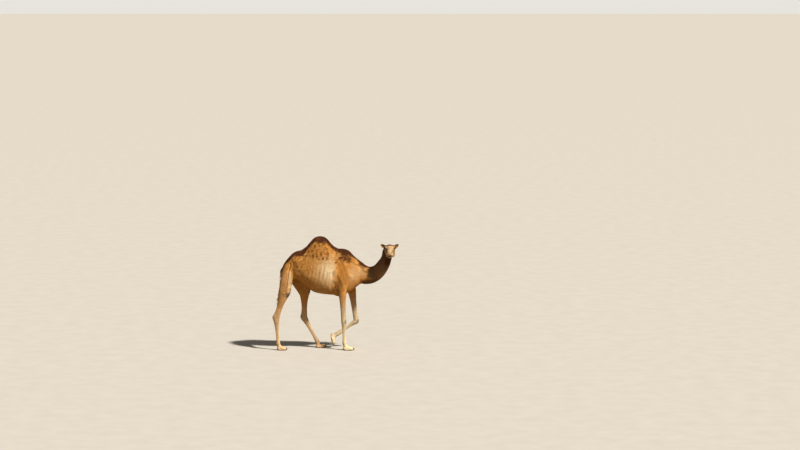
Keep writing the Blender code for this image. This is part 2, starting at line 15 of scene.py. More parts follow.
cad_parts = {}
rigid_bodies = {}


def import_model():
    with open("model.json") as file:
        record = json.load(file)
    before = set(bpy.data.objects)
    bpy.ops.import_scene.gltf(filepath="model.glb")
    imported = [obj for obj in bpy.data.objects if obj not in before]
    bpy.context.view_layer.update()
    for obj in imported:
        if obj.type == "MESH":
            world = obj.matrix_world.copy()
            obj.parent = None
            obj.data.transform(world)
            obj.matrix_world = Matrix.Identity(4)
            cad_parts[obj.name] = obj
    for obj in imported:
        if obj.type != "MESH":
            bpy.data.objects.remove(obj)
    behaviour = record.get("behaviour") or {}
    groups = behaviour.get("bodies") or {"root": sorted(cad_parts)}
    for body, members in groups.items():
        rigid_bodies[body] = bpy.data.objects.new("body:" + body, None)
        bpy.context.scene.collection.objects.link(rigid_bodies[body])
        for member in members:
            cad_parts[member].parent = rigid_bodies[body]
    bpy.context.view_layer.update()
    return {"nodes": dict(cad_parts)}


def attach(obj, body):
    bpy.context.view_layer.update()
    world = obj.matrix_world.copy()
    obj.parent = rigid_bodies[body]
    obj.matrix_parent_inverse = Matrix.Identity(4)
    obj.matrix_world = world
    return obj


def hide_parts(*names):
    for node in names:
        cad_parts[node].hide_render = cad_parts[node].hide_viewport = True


LEFT, RIGHT = 1, -1
LOCKS_SEED = 1947  # the coat grows the same way on every run


for obj in list(bpy.data.objects):
    bpy.data.objects.remove(obj)
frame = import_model()
FLESH_NODES = [name for name in frame["nodes"] if not name.startswith(("eye", "nail"))]
chance = np.random.default_rng(LOCKS_SEED)

# %% [markdown]
# ## The body plan
# A camel is easiest to measure in slices, the way a saddler takes a pattern: how low the belly
# hangs, how high the back stands and how wide the barrel is, one slice after another. The tables
# below are those measurements for the trunk, hump, neck, tail, head and legs. They could be read
# back from the solids, but a plan in numbers can be used at any fineness, and this script needs
# a much finer body than the solids have.

# %% Trunk, hump, neck and tail
HUMP_TOP, WITHERS_TOP, BACK, BARREL_HALF = 2.04, 1.81, 1.79, 0.290
# x, belly line, level of the widest point, back line, half width
TRUNK = (
    (-0.940, 1.290, 1.37, 1.470, 0.050),
    (-0.905, 1.230, 1.38, 1.548, 0.095),
    (-0.860, 1.210, 1.40, 1.606, 0.135),
    (-0.800, 1.215, 1.42, 1.676, 0.170),
    (-0.720, 1.250, 1.44, 1.748, 0.198),
    (-0.620, 1.215, 1.41, 1.782, 0.222),
    (-0.500, 1.115, 1.37, BACK, 0.250),
    (-0.380, 1.030, 1.34, BACK, 0.276),
    (-0.250, 0.995, 1.32, BACK, BARREL_HALF),
    (-0.130, 0.980, 1.31, BACK, 0.284),
    (-0.040, 0.972, 1.31, 1.800, 0.256),
    (0.030, 0.968, 1.31, 1.812, 0.220),
    (0.100, 0.970, 1.32, 1.815, 0.190),
    (0.200, 0.990, 1.33, WITHERS_TOP, 0.172),
    (0.280, 1.030, 1.35, 1.764, 0.160),
    (0.360, 1.090, 1.37, 1.672, 0.144),
    (0.430, 1.140, 1.36, 1.585, 0.126),
    (0.480, 1.190, 1.36, 1.520, 0.100),
)
# x, top line, half width: the hump stands on the back, its foot sunk in it
HUMP_FOOT = 1.62
HUMP = (
    (-0.660, 1.730, 0.080),
    (-0.580, 1.794, 0.125),
    (-0.500, 1.858, 0.160),
    (-0.420, 1.952, 0.185),
    (-0.350, 2.020, 0.198),
    (-0.265, HUMP_TOP, 0.202),
    (-0.190, 2.034, 0.198),
    (-0.125, 1.992, 0.188),
    (-0.060, 1.914, 0.165),
    (0.000, 1.854, 0.135),
    (0.070, 1.824, 0.095),
)
# centre x, y, z; half width, upper and lower radius; how far it has turned to the right
NECK = (
    (0.280, 0.000, 1.420, 0.130, 0.270, 0.260, 0),
    (0.400, 0.000, 1.385, 0.120, 0.215, 0.215, 0),
    (0.505, 0.000, 1.350, 0.112, 0.175, 0.185, 0),
    (0.620, 0.000, 1.335, 0.102, 0.155, 0.165, 0),
    (0.715, -0.003, 1.362, 0.094, 0.140, 0.148, 4),
    (0.790, -0.012, 1.418, 0.088, 0.126, 0.134, 10),
    (0.845, -0.027, 1.485, 0.083, 0.119, 0.124, 18),
    (0.892, -0.050, 1.556, 0.080, 0.114, 0.116, 30),
    (0.924, -0.082, 1.632, 0.084, 0.108, 0.108, 46),
    (0.940, -0.125, 1.708, 0.094, 0.100, 0.098, 64),
    (0.950, -0.190, 1.765, 0.094, 0.090, 0.088, 80),
)
TAIL = (
    (-0.880, 0.0, 1.440, 0.030, 0.030, 0.030),
    (-0.926, 0.0, 1.425, 0.029, 0.029, 0.029),
    (-0.956, 0.0, 1.375, 0.023, 0.023, 0.023),
    (-0.970, 0.0, 1.280, 0.018, 0.017, 0.017),
    (-0.980, 0.0, 1.150, 0.017, 0.016, 0.016),
    (-0.988, 0.0, 1.040, 0.022, 0.019, 0.019),
    (-0.993, 0.0, 0.950, 0.025, 0.021, 0.021),
    (-0.993, 0.0, 0.870, 0.017, 0.016, 0.016),
    (-0.991, 0.0, 0.820, 0.007, 0.007, 0.007),
)

# x, z, half width: the muscle that runs from the pin bone down the back of the forward hind leg
HAMSTRING = (
    (-0.865, 1.430, 0.055),
    (-0.795, 1.320, 0.074),
    (-0.705, 1.190, 0.078),
    (-0.610, 1.040, 0.066),
    (-0.560, 0.900, 0.045),
)
print(len(TRUNK), "slices of trunk,", len(HUMP), "of hump,", len(NECK), "of neck")

# %% Head
HEAD_LENGTH, EYE_RADIUS, EAR_LENGTH = 0.485, 0.022, 0.115
# x, lower line, level of the widest point, upper line, half width
HEAD = (
    (0.000, -0.085, -0.010, 0.050, 0.062),
    (0.040, -0.118, -0.010, 0.086, 0.084),
    (0.090, -0.128, -0.005, 0.103, 0.094),
    (0.145, -0.124, 0.010, 0.109, 0.095),
    (0.195, -0.114, 0.012, 0.101, 0.086),
    (0.250, -0.106, 0.000, 0.078, 0.067),
    (0.310, -0.100, -0.012, 0.060, 0.054),
    (0.370, -0.097, -0.022, 0.052, 0.052),
    (0.420, -0.097, -0.030, 0.042, 0.058),
    (0.458, -0.086, -0.036, 0.018, 0.052),
    (HEAD_LENGTH - 0.008, -0.070, -0.040, -0.012, 0.034),
)
# bones and muscles on each side of the face: middle, radii, and tilt and turn in degrees
FACE = (
    ("brow", (0.160, 0.068, 0.072), (0.062, 0.032, 0.026), (10, 8)),
    ("cheekbone", (0.186, 0.068, 0.016), (0.074, 0.030, 0.024), (14, -12)),
    ("jaw_muscle", (0.092, 0.056, -0.050), (0.088, 0.042, 0.078), (0, 0)),
    ("jaw_bone", (0.220, 0.042, -0.086), (0.120, 0.022, 0.024), (-3, -6)),
    ("nostril_wing", (0.434, 0.034, -0.002), (0.034, 0.022, 0.026), (34, 0)),
)
HEAD_PLACE = Vector((0.985, -0.100, 1.797))
HEAD_HEADING = -89.0  # degrees round from straight ahead: it looks off to the right
HEAD_PITCH = -2.0  # degrees, nose down: it carries the nose a little up
EYE = (0.176, 0.082, 0.052)
EAR_ROOT = (0.062, 0.068, 0.036)
EAR_AIM = (-0.25, 0.82, 0.57)
# share of the ear's length, half width, thickness in front of and behind its middle
EAR = (
    (-0.10, 0.020, 0.015, 0.015),
    (0.14, 0.026, 0.013, 0.014),
    (0.38, 0.033, 0.009, 0.011),
    (0.62, 0.031, 0.007, 0.009),
    (0.84, 0.020, 0.006, 0.007),
    (0.97, 0.008, 0.005, 0.005),
)
print("head", HEAD_LENGTH, "m long, ears", EAR_LENGTH, "m")

# %% Legs
FOOT_TREAD = 0.145  # the legs stand this far each side of the trunk's midline
FORE_ANKLE, HIND_ANKLE = 0.118, 0.113  # height of the fetlock over the sole
JOINTS = {
    "foreleg_right": {
        "top": (0.165, 1.620), "elbow": (0.138, 1.100), "knee": (0.166, 0.510),
        "fetlock": (0.178, FORE_ANKLE), "foot_turn": 0,
    },
    "foreleg_left": {
        "top": (0.200, 1.620), "elbow": (0.295, 1.090), "knee": (0.383, 0.485),
        "fetlock": (0.040, 0.242), "foot_turn": 80,
    },
    "hindleg_right": {
        "top": (-0.812, 1.500), "elbow": (-0.890, 1.050), "knee": (-1.037, 0.570),
        "fetlock": (-1.004, HIND_ANKLE), "foot_turn": 0,
    },
    "hindleg_left": {
        "top": (-0.770, 1.490), "elbow": (-0.545, 1.060), "knee": (-0.548, 0.540),
        "fetlock": (-0.318, HIND_ANKLE), "foot_turn": 0,
    },
}
# Along which bone (0 upper, 1 middle, 2 cannon) and how far down it, then
# distance from the midline, half width, and reach in front of and behind the line
FORELEG = (
    (0, 0.00, 0.100, 0.035, 0.080, 0.070),
    (0, 0.28, 0.140, 0.060, 0.135, 0.120),
    (0, 0.58, 0.160, 0.074, 0.172, 0.148),
    (0, 0.82, 0.160, 0.070, 0.130, 0.120),
    (1, 0.00, 0.158, 0.062, 0.092, 0.095),
    (1, 0.16, 0.154, 0.056, 0.080, 0.078),
    (1, 0.40, 0.150, 0.047, 0.060, 0.060),
    (1, 0.68, 0.147, 0.041, 0.049, 0.053),
    (1, 0.86, 0.146, 0.043, 0.052, 0.052),
    (1, 1.00, 0.145, 0.048, 0.056, 0.052),
    (2, 0.12, 0.145, 0.045, 0.050, 0.047),
    (2, 0.28, 0.145, 0.036, 0.038, 0.042),
    (2, 0.50, 0.145, 0.032, 0.034, 0.038),
    (2, 0.78, 0.145, 0.033, 0.033, 0.038),
    (2, 1.00, 0.145, 0.041, 0.038, 0.042),
)
HINDLEG = (
    (0, 0.00, 0.105, 0.060, 0.090, 0.080),
    (0, 0.30, 0.135, 0.082, 0.114, 0.106),
    (0, 0.65, 0.150, 0.085, 0.124, 0.114),
    (1, 0.00, 0.158, 0.074, 0.116, 0.110),
    (1, 0.18, 0.158, 0.062, 0.094, 0.096),
    (1, 0.38, 0.154, 0.050, 0.068, 0.072),
    (1, 0.62, 0.150, 0.038, 0.054, 0.058),
    (1, 0.84, 0.147, 0.036, 0.055, 0.066),
    (1, 0.97, 0.146, 0.037, 0.060, 0.082),
    (2, 0.10, 0.145, 0.039, 0.056, 0.062),
    (2, 0.28, 0.145, 0.034, 0.043, 0.048),
    (2, 0.52, 0.145, 0.029, 0.034, 0.040),
    (2, 0.78, 0.145, 0.030, 0.033, 0.038),
    (2, 1.00, 0.145, 0.038, 0.038, 0.042),
)
TO_ORIGIN = np.array([-0.010, 0.160, 0.0])  # from the trunk's midline to the whole box's middle
print("a foreleg has", len(FORELEG), "slices and a hind leg", len(HINDLEG))

# %% [markdown]
# ## Ovals on a line
# A limb is an oval carried along a bone. The oval's upper and lower halves have their own
# radii, so one shape serves for a deep chest and for a flat cannon bone. The line through the
# table's rows is a Catmull-Rom curve, which passes through every row and never overshoots much.
# A Bezier curve with a bevel could do something like it, but its section can't change so freely.

# %% A curve through rows
def unit(rows):
    """Each row divided by its own length."""
    return rows / np.maximum(np.linalg.norm(rows, axis=-1, keepdims=True), 1e-12)


def threaded(rows, per_span=8):
    """A Catmull-Rom curve through the rows.

    A share t of the way from row b to row c, with a before them and d after, it is half of
    2b + (c - a)t + (2a - 5b + 4c - d)t2 + (3b - a - 3c + d)t3.
    """
    rows = np.asarray(rows, float)
    guide = np.vstack([2 * rows[0] - rows[1], rows, 2 * rows[-1] - rows[-2]])
    a, b, c, d = (guide[k : len(guide) - 3 + k, None] for k in range(4))
    t = (np.arange(per_span) / per_span)[None, :, None]
    squared, cubed = (2 * a - 5 * b + 4 * c - d) * t**2, (3 * b - a - 3 * c + d) * t**3
    curve = 0.5 * (2 * b + (c - a) * t + squared + cubed)
    return np.vstack([curve.reshape(-1, rows.shape[1]), rows[-1:]])


print("the neck's curve has", len(threaded(NECK)), "points")

# %% Oval tubes
DOME = np.radians([80.0, 65.0, 50.0, 35.0, 18.0])  # the rings that close a tube's ends
THINNEST = 0.003


def full_turn(count):
    """Angles spaced evenly over one full turn."""
    return np.linspace(0, 2 * math.pi, count, endpoint=False)


def oval_tube(rows, along=None, turns=0.0, sides=48, roundness=(1.0, 1.0)):
    """Rings of points, and the line that carries them.

    Each point is the middle, plus the half width times cosine across, plus the upper or lower
    radius times sine upwards. The rings at each end shrink over a dome.
    """
    table = np.array([row[:6] for row in rows], float)
    line = threaded(np.column_stack([table, np.radians(turns) + np.zeros(len(rows))]))
    middles, radii, yaw = line[:, :3], np.maximum(line[:, 3:6], THINNEST), line[:, 6]
    tangents = np.gradient(middles, axis=0) if along is None else np.tile(along, (len(line), 1))
    tangents = unit(np.asarray(tangents, float))
    across = np.column_stack([np.sin(yaw), np.cos(yaw), np.zeros(len(yaw))])
    across = unit(across - tangents * (across * tangents).sum(1, keepdims=True))
    upward = np.cross(tangents, across)
    carried = (middles, tangents, across, upward, radii)

    reach = 0.8 * radii[[0, -1]].min(axis=1)[:, None] * np.sin(DOME)
    middles = np.vstack([
        middles[0] - tangents[0] * reach[0][:, None], middles,
        middles[-1] + tangents[-1] * reach[1][::-1, None],
    ])
    shrink = np.cos(DOME)[:, None]
    radii = np.vstack([radii[0] * shrink, radii, radii[-1] * shrink[::-1]])
    across, upward = (
        np.vstack([[rows[0]] * len(DOME), rows, [rows[-1]] * len(DOME)]) for rows in (across, upward)
    )
    cos, sin = np.cos(full_turn(sides)), np.sin(full_turn(sides))
    wide = np.sign(cos) * np.abs(cos) ** (1 / np.where(sin > 0, roundness[0], roundness[1]))
    height = np.where(sin > 0, radii[:, 1:2], radii[:, 2:3]) * sin
    grid = (middles[:, None] + across[:, None] * (radii[:, :1] * wide)[..., None]
            + upward[:, None] * height[..., None])
    return grid, carried


print("the neck's tube has rings and corners:", oval_tube(NECK)[0].shape[:2])

# %% Shells and balls
def walls(rings):
    """Two triangles for each step round each ring and on to the next; rings of point numbers."""
    beside = np.roll(rings, -1, axis=1)
    corners = [rings[:-1], beside[:-1], beside[1:], rings[:-1], beside[1:], rings[1:]]
    return np.stack(corners, -1).reshape(-1, 3)


def shell(grid):
    """Vertices and triangles of a tube of rings, closed by a pole at each end, facing out."""
    rings, sides = grid.shape[:2]
    here = np.arange(rings * sides).reshape(rings, sides)
    beside = np.roll(here, -1, axis=1)
    first, last = np.full(sides, rings * sides), np.full(sides, rings * sides + 1)
    caps = [np.stack([beside[0], here[0], first], -1), np.stack([here[-1], beside[-1], last], -1)]
    verts = np.vstack([grid.reshape(-1, 3), grid[0].mean(axis=0), grid[-1].mean(axis=0)])
    return verts, np.vstack([walls(here), *caps])


def ball(centre, radii, turn=(0, 0, 0), segments=40, rings=22):
    """An ellipsoid: each point of a unit sphere times the radii, turned by degrees about x, y, z."""
    spin = Matrix.Identity(3)
    for axis, degrees in zip("XYZ", turn):
        spin = spin @ Matrix.Rotation(math.radians(degrees), 3, axis)
    height = np.linspace(-1, 1, rings + 2)[1:-1] * math.pi / 2
    angle = full_turn(segments)
    grid = np.stack([
        np.outer(np.cos(height), np.cos(angle)), np.outer(np.cos(height), np.sin(angle)),
        np.outer(np.sin(height), np.ones(segments)),
    ], -1)
    return shell((grid * np.array(radii)) @ np.array(spin).T + np.array(centre))


def carried_by(place, points):
    """Points moved by a 4 x 4 matrix."""
    return points @ place[:3, :3].T + place[:3, 3]


def placed(shape, place):
    """The same triangles with their vertices moved by a 4 x 4 matrix."""
    return carried_by(place, shape[0]), shape[1]


def upright(rows):
    """Slices of (x, lower line, widest level, upper line, half width) as rows for a tube."""
    return [(x, 0.0, mid, half, top - mid, mid - low) for x, low, mid, top, half in rows]


print("a test ball has", len(ball((0, 0, 0), (1, 1, 1))[1]), "triangles")

# %% [markdown]
# ## How the hair lies
# On a real camel the hair grows from the nose back over the head, down the neck to the
# shoulders, back and down over the ribs, and straight down the legs. Each tube therefore leaves
# behind a string of guides: where its middle is, which way the hair runs there, how thick it
# is, and two directions that say how far round it a point is. The skin, the locks and the
# coat's patch of texture all ask these guides, so they can't disagree.

# %% Guides
PARTS = ("trunk", "hump", "neck", "head", "tail", "foreleg_right", "foreleg_left",
         "hindleg_right", "hindleg_left")
flesh, guides = [], []


def guide_by(part, carried, lie, place=np.eye(4)):
    """Adds a guide for each point of a tube's line; the hair lies along `lie`, or 1 or -1 along it."""
    middles, tangents, across, upward, radii = carried
    hair = tangents * lie if np.ndim(lie) == 0 else np.tile(lie, (len(middles), 1))
    directions = [rows @ place[:3, :3].T for rows in (hair, across, upward, tangents)]
    number = np.full(len(middles), PARTS.index(part))
    share = np.linspace(0, 1, len(middles))
    row = [carried_by(place, middles), *directions, radii.mean(axis=1), number, share]
    guides.append(np.column_stack(row))


def grow(part, rows, lie, **how):
    """A tube of flesh together with its guides."""
    grid, carried = oval_tube(rows, **how)
    flesh.append(shell(grid))
    guide_by(part, carried, lie)


print(len(PARTS), "parts will leave guides")

# %% [markdown]
# ## Trunk, hump and neck
# The barrel is one tube of upright slices, leaner above than below like the roof of a house,
# and the hump is a second tube that stands on it. The neck starts deep in the chest and turns
# to the right as it rises. Pads and bony points are ellipsoids: the chest pad that a camel
# kneels on, the breast, the hip bones and the pin bones under the tail.

# %% Trunk, hump and neck
grow("trunk", upright(TRUNK), (-0.86, 0, -0.50), along=(1, 0, 0), sides=72, roundness=(0.86, 1.0))
SUNK = 0.08  # how deep the hump is sunk in the back
hump_rows = [(x, 0.0, HUMP_FOOT, half, top - HUMP_FOOT, SUNK) for x, top, half in HUMP]
grow("hump", hump_rows, (-0.70, 0, -0.55), along=(1, 0, 0), roundness=(0.90, 1.0))
grow("neck", NECK, -1, turns=[row[6] for row in NECK])
grow("tail", TAIL, 1)
flesh.append(ball((0.090, 0, 0.985), (0.110, 0.070, 0.045)))  # chest pad
flesh.append(ball((0.360, 0, 1.230), (0.110, 0.115, 0.110)))  # breast
for side in (LEFT, RIGHT):
    flesh.append(ball((-0.655, 0.135 * side, 1.590), (0.110, 0.070, 0.075)))  # hip bone
    flesh.append(ball((-0.875, 0.080 * side, 1.430), (0.060, 0.045, 0.070)))  # pin bone
hamstring_rows = [(x, 0.118, z, half, half * 1.1, half) for x, z, half in HAMSTRING]
flesh.append(shell(oval_tube(hamstring_rows)[0]))
print(len(flesh), "shapes so far")

# %% [markdown]
# ## Head
# The skull and muzzle are one tube in the head's own frame, and the head is then carried to the
# top of the neck and turned to look off to the right. Lips, nose bridge, brows, cheekbones and
# jaw are ellipsoids, as in the solids.

# %% Head
to_head = np.array(
    Matrix.Translation(HEAD_PLACE) @ Matrix.Rotation(math.radians(HEAD_HEADING), 4, "Z")
    @ Matrix.Rotation(math.radians(HEAD_PITCH), 4, "Y")
)
skull, skull_line = oval_tube(upright(HEAD), along=(1, 0, 0), roundness=(0.92, 0.95))
guide_by("head", skull_line, (-0.97, 0, -0.22), to_head)
head_shapes = [
    shell(skull),
    ball((0.444, 0, -0.048), (0.044, 0.058, 0.038), (0, 8, 0)),
    ball((0.420, 0, -0.094), (0.050, 0.040, 0.024), (0, -4, 0)),
    ball((0.380, 0, 0.020), (0.080, 0.034, 0.034), (0, 8, 0)),
    ball((0.075, 0, 0.060), (0.085, 0.062, 0.046), (0, -4, 0)),
    ball((0.010, 0, -0.050), (0.080, 0.074, 0.080)),
]
for side in (LEFT, RIGHT):
    for name, (x, y, z), radii, (tilt, turn) in FACE:
        head_shapes.append(ball((x, y * side, z), radii, (0, tilt, turn * side)))
flesh += [placed(shape, to_head) for shape in head_shapes]
print("head made of", len(head_shapes), "shapes")

# %% [markdown]
# ## Legs and feet
# Each leg is a tube laid along its own joints. A camel walks on two toes bound in one broad
# pad, so the foot is a pad, a heel and two long toes. The lifted forefoot is the same foot,
# turned about its fetlock.

# %% Legs and feet
def leg_facts(name):
    """Which side the leg is on, its fetlock's height over the sole, and its foot's relative size."""
    side = LEFT if name.endswith("left") else RIGHT
    return (side, FORE_ANKLE, 1.0) if name.startswith("fore") else (side, HIND_ANKLE, 0.90)


def foot_matrix(name):
    """From a foot's own frame, with the fetlock at its origin, to the trunk's."""
    x, z = JOINTS[name]["fetlock"]
    turn = Matrix.Rotation(math.radians(JOINTS[name]["foot_turn"]), 4, "Y")
    return np.array(Matrix.Translation((x, FOOT_TREAD * leg_facts(name)[0], z)) @ turn)


for name, joints in JOINTS.items():
    side, ankle, size = leg_facts(name)
    bones = [np.array(joints[joint], float) for joint in ("top", "elbow", "knee", "fetlock")]
    rows = []
    for bone, share, out, half, front, back in FORELEG if name.startswith("fore") else HINDLEG:
        x, z = bones[bone] + (bones[bone + 1] - bones[bone]) * share
        rows.append((x, out * side, z, half, front, back))
    grow(name, rows, 1)
    sole = -ankle
    pastern, pastern_line = oval_tube((
        (-0.002, 0, 0.000, 0.036 * size, 0.034, 0.036),
        (0.018, 0, sole * 0.40, 0.044 * size, 0.036, 0.040),
        (0.045, 0, sole * 0.66, 0.056 * size, 0.040, 0.044),
    ))
    guide_by(name, pastern_line, 1, foot_matrix(name))
    guides[-1][:, -1] = 1.0  # the foot counts as the leg's far end
    foot_shapes = [
        shell(pastern),
        ball((0.062 * size, 0, sole + 0.014), (0.092 * size, 0.082 * size, 0.024)),
        ball((0.010, 0, sole + 0.030), (0.046 * size, 0.060 * size, 0.036)),
    ]
    for toe in (LEFT, RIGHT):
        foot_shapes.append(ball((0.092 * size, 0.040 * size * toe, sole + 0.026),
                                (0.076 * size, 0.041 * size, 0.033), (0, 8, 7 * toe)))
    flesh += [placed(shape, foot_matrix(name)) for shape in foot_shapes]
guides = np.vstack(guides)
print(len(flesh), "shapes of flesh,", len(guides), "guides")

# %% [markdown]
# ## One skin
# Overlapping shapes aren't yet a body. A voxel remesh melts them into a single closed surface,
# as if wax were poured over all of them, and a Smooth modifier then relaxes the junctions: much
# on the trunk, less on the legs, least on the head and feet. Booleans could join the shapes too,
# but they leave a hard crease along every join.

# %% Meshes from arrays
def mesh_object(name, verts, faces):
    """A mesh object from an array of points and an array of faces."""
    mesh = bpy.data.meshes.new(name)
    mesh.vertices.add(len(verts))
    mesh.vertices.foreach_set("co", np.asarray(verts, np.float32).ravel())
    mesh.loops.add(faces.size)
    mesh.loops.foreach_set("vertex_index", np.asarray(faces, np.int32).ravel())
    mesh.polygons.add(len(faces))
    mesh.polygons.foreach_set("loop_start", np.arange(len(faces), dtype=np.int32) * faces.shape[1])
    mesh.update(calc_edges=True)
    mesh.validate()
    mesh.shade_smooth()
    obj = bpy.data.objects.new(name, mesh)
    bpy.context.scene.collection.objects.link(obj)
    return obj


def gathered(shapes):
    """Several shapes' vertices and triangles as one pair of arrays."""
    starts = np.cumsum([0] + [len(verts) for verts, _ in shapes[:-1]])
    return (np.vstack([verts for verts, _ in shapes]),
            np.vstack([faces + start for (_, faces), start in zip(shapes, starts)]))


def read(mesh, what="places"):
    """The vertices' places or normals as an array of rows."""
    values = np.empty(len(mesh.vertices) * 3, np.float32)
    if what == "places":
        mesh.vertices.foreach_get("co", values)
    else:
        mesh.vertex_normals.foreach_get("vector", values)
    return values.reshape(-1, 3).astype(float)


def settled(obj):
    """Turns an object's modifiers into plain mesh."""
    graph = bpy.context.evaluated_depsgraph_get()
    mesh = bpy.data.meshes.new_from_object(obj.evaluated_get(graph))
    obj.modifiers.clear()
    obj.data = mesh


def weigh(obj, name, weights, steps=20):
    """A vertex group with one weight for each vertex, in steps of a twentieth."""
    group = obj.vertex_groups.new(name=name)
    rounded = np.round(np.asarray(weights) * steps).astype(int)
    for step in range(1, steps + 1):
        group.add(np.flatnonzero(rounded == step).tolist(), step / steps, "REPLACE")
    return name


print("before melting, the flesh has", len(gathered(flesh)[0]), "points")

# %% Melt the shapes into one skin
VOXEL = 0.0052
BODY_ROUNDS, LEG_ROUNDS, FINE_ROUNDS = 260, 44, 12  # how often each region is smoothed

skin = mesh_object("skin", *gathered(flesh))
melt = skin.modifiers.new("melt", "REMESH")
melt.mode = "VOXEL"
melt.voxel_size = VOXEL
settled(skin)


def on_head(points):
    """1 on the head, 0 elsewhere."""
    return ((points[:, 1] < -0.115) & (points[:, 2] > 1.5)).astype(float)


def on_feet(points):
    """1 on the four feet, 0 elsewhere, and a soft change at the fetlocks."""
    x, y, z = points.T
    lifted_x, lifted_z = JOINTS["foreleg_left"]["fetlock"]
    away = np.hypot(x - lifted_x, z - lifted_z) + 10 * (y < 0.05) + 10 * (x > lifted_x + 0.12)
    return np.clip(np.maximum((0.22 - z) / 0.12, (0.17 - away) / 0.07), 0, 1)


def relax(obj, weights, rounds):
    """A Smooth modifier held to a vertex group."""
    modifier = obj.modifiers.new("relax", "SMOOTH")
    modifier.factor = 0.5
    modifier.iterations = rounds
    modifier.vertex_group = weigh(obj, f"relax_{rounds}", weights)


points = read(skin.data)
fine = np.maximum(on_head(points), on_feet(points))
barrel = np.clip((points[:, 2] - 1.04) / 0.12, 0, 1) * np.clip((0.62 - points[:, 0]) / 0.20, 0, 1)
relax(skin, barrel, BODY_ROUNDS)
relax(skin, 1 - fine, LEG_ROUNDS)
relax(skin, fine, FINE_ROUNDS)
settled(skin)
print("skin:", len(skin.data.vertices), "vertices")

# %% [markdown]
# ## Asking the guides
# Every point of the skin asks which guides are near, counted in each limb's own thickness, so
# that a thin leg isn't outvoted by the big barrel beside it. The answers are blended with
# weights that fall off as a bell curve, and so the hair turns smoothly from the neck to the
# shoulder and from the shoulder to the leg.

# %% Ask the guides
COAT_DEPTH = np.array([0.0085, 0.012, 0.010, 0.0035, 0.007, 0.006, 0.006, 0.006, 0.006])  # of PARTS
FOOT_DEPTH = 0.002
FALL_OFF = 3


def ask(points, block=20000):
    """For each point: hair direction, coat depth, part, share along the part and angle round it.

    A guide's weight is e to the power of -3 times the squared distance in limb thicknesses.
    """
    centre, lie, across, upward, _ = (guides[:, k : k + 3] for k in range(0, 15, 3))
    size, number, share = guides[:, 15], guides[:, 16].astype(int), guides[:, 17]
    answers = []
    for start in range(0, len(points), block):
        spots = points[start : start + block]
        away = ((spots**2).sum(1)[:, None] + (centre**2).sum(1) - 2 * spots @ centre.T) / size**2
        nearest = away.argmin(axis=1)
        weight = np.exp(-FALL_OFF * (away - away.min(axis=1, keepdims=True)))
        part = number[nearest]
        own = weight * (number == part[:, None])
        out = spots - centre[nearest]
        angle = np.arctan2((out * upward[nearest]).sum(1), (out * across[nearest]).sum(1))
        answers.append(np.column_stack([
            weight @ lie / weight.sum(axis=1, keepdims=True),
            weight @ COAT_DEPTH[number] / weight.sum(axis=1), part,
            own @ share / own.sum(axis=1), angle,
        ]))
    told = np.vstack(answers)
    return told[:, :3], told[:, 3], told[:, 4].astype(int), told[:, 5], told[:, 6]


def lowered(points, normals):
    """The points pushed in by the coat's depth, which thins out over the feet."""
    depth = ask(points)[1]
    depth = FOOT_DEPTH + (depth - FOOT_DEPTH) * (1 - on_feet(points))
    points = points - normals * depth[:, None]
    points[:, 2] = np.maximum(points[:, 2], 0.0)
    return points


under_coat = lowered(read(skin.data), read(skin.data, "normals"))
skin.data.vertices.foreach_set("co", under_coat.astype(np.float32).ravel())
skin.data.update()
print("skin lies under the coat; lowest point", round(float(under_coat[:, 2].min()), 4))

# %% [markdown]
# ## Fine where it matters
# A face needs a finer mesh than a flank. Decimate thins the body and leaves the head alone, and
# the muzzle and the eyes' surroundings are then subdivided once more, ready for carving.

# %% Thin the body
BODY_TRIANGLES = 84000


def triangles_of(mesh):
    """The mesh's triangles as an array of vertex numbers."""
    mesh.calc_loop_triangles()
    corners = np.empty(len(mesh.loop_triangles) * 3, np.int32)
    mesh.loop_triangles.foreach_get("vertices", corners)
    return corners.reshape(-1, 3)


def thin_out(obj, keep, wanted):
    """Decimate by collapse until the part outside `keep` has a wanted number of triangles."""
    inside = keep[triangles_of(obj.data)].mean(axis=1) > 0.5
    thin = obj.modifiers.new("thin", "DECIMATE")
    thin.ratio = float(1 - ((~inside).sum() - wanted) / len(inside))
    thin.vertex_group = weigh(obj, "keep", keep)
    thin.invert_vertex_group = True
    thin.vertex_group_factor = 100.0
    settled(obj)


thin_out(skin, on_head(read(skin.data)), BODY_TRIANGLES)
print("thinned skin:", len(triangles_of(skin.data)), "triangles")

# %% Refine the face
EYE_REGION = 0.055


def refined(verts, faces, chosen):
    """Each chosen triangle is split in four at the middles of its edges, and its neighbours to fit."""
    edges = np.sort(faces[:, [[0, 1], [1, 2], [2, 0]]].reshape(-1, 2), axis=1)
    keys, slot = np.unique(edges, axis=0, return_inverse=True)
    slot = slot.reshape(-1, 3)
    split = np.zeros(len(keys), bool)
    split[slot[chosen].ravel()] = True
    middle = np.full(len(keys), -1)
    middle[split] = len(verts) + np.arange(split.sum())
    verts = np.vstack([verts, verts[keys[split]].mean(axis=1)])
    marks = split[slot]
    count = marks.sum(axis=1)
    pieces = [faces[count == 0]]
    for cuts in (1, 2, 3):
        group, mids, mark = faces[count == cuts], middle[slot[count == cuts]], marks[count == cuts]
        if cuts < 3:
            lead = np.where(mark, np.arange(3), -1).max(axis=1) if cuts == 1 else (~mark).argmax(axis=1) + 1
            turn = (lead[:, None] + np.arange(3)) % 3
            group, mids = np.take_along_axis(group, turn, 1), np.take_along_axis(mids, turn, 1)
        (a, b, c), (ab, bc, ca) = group.T, mids.T
        fans = {1: [(a, ab, c), (ab, b, c)],
                2: [(ab, b, bc), (a, ab, c), (ab, bc, c)],
                3: [(a, ab, ca), (ab, b, bc), (ca, bc, c), (ab, bc, ca)]}[cuts]
        pieces += [np.stack(fan, axis=1) for fan in fans]
    return verts, np.vstack(pieces)


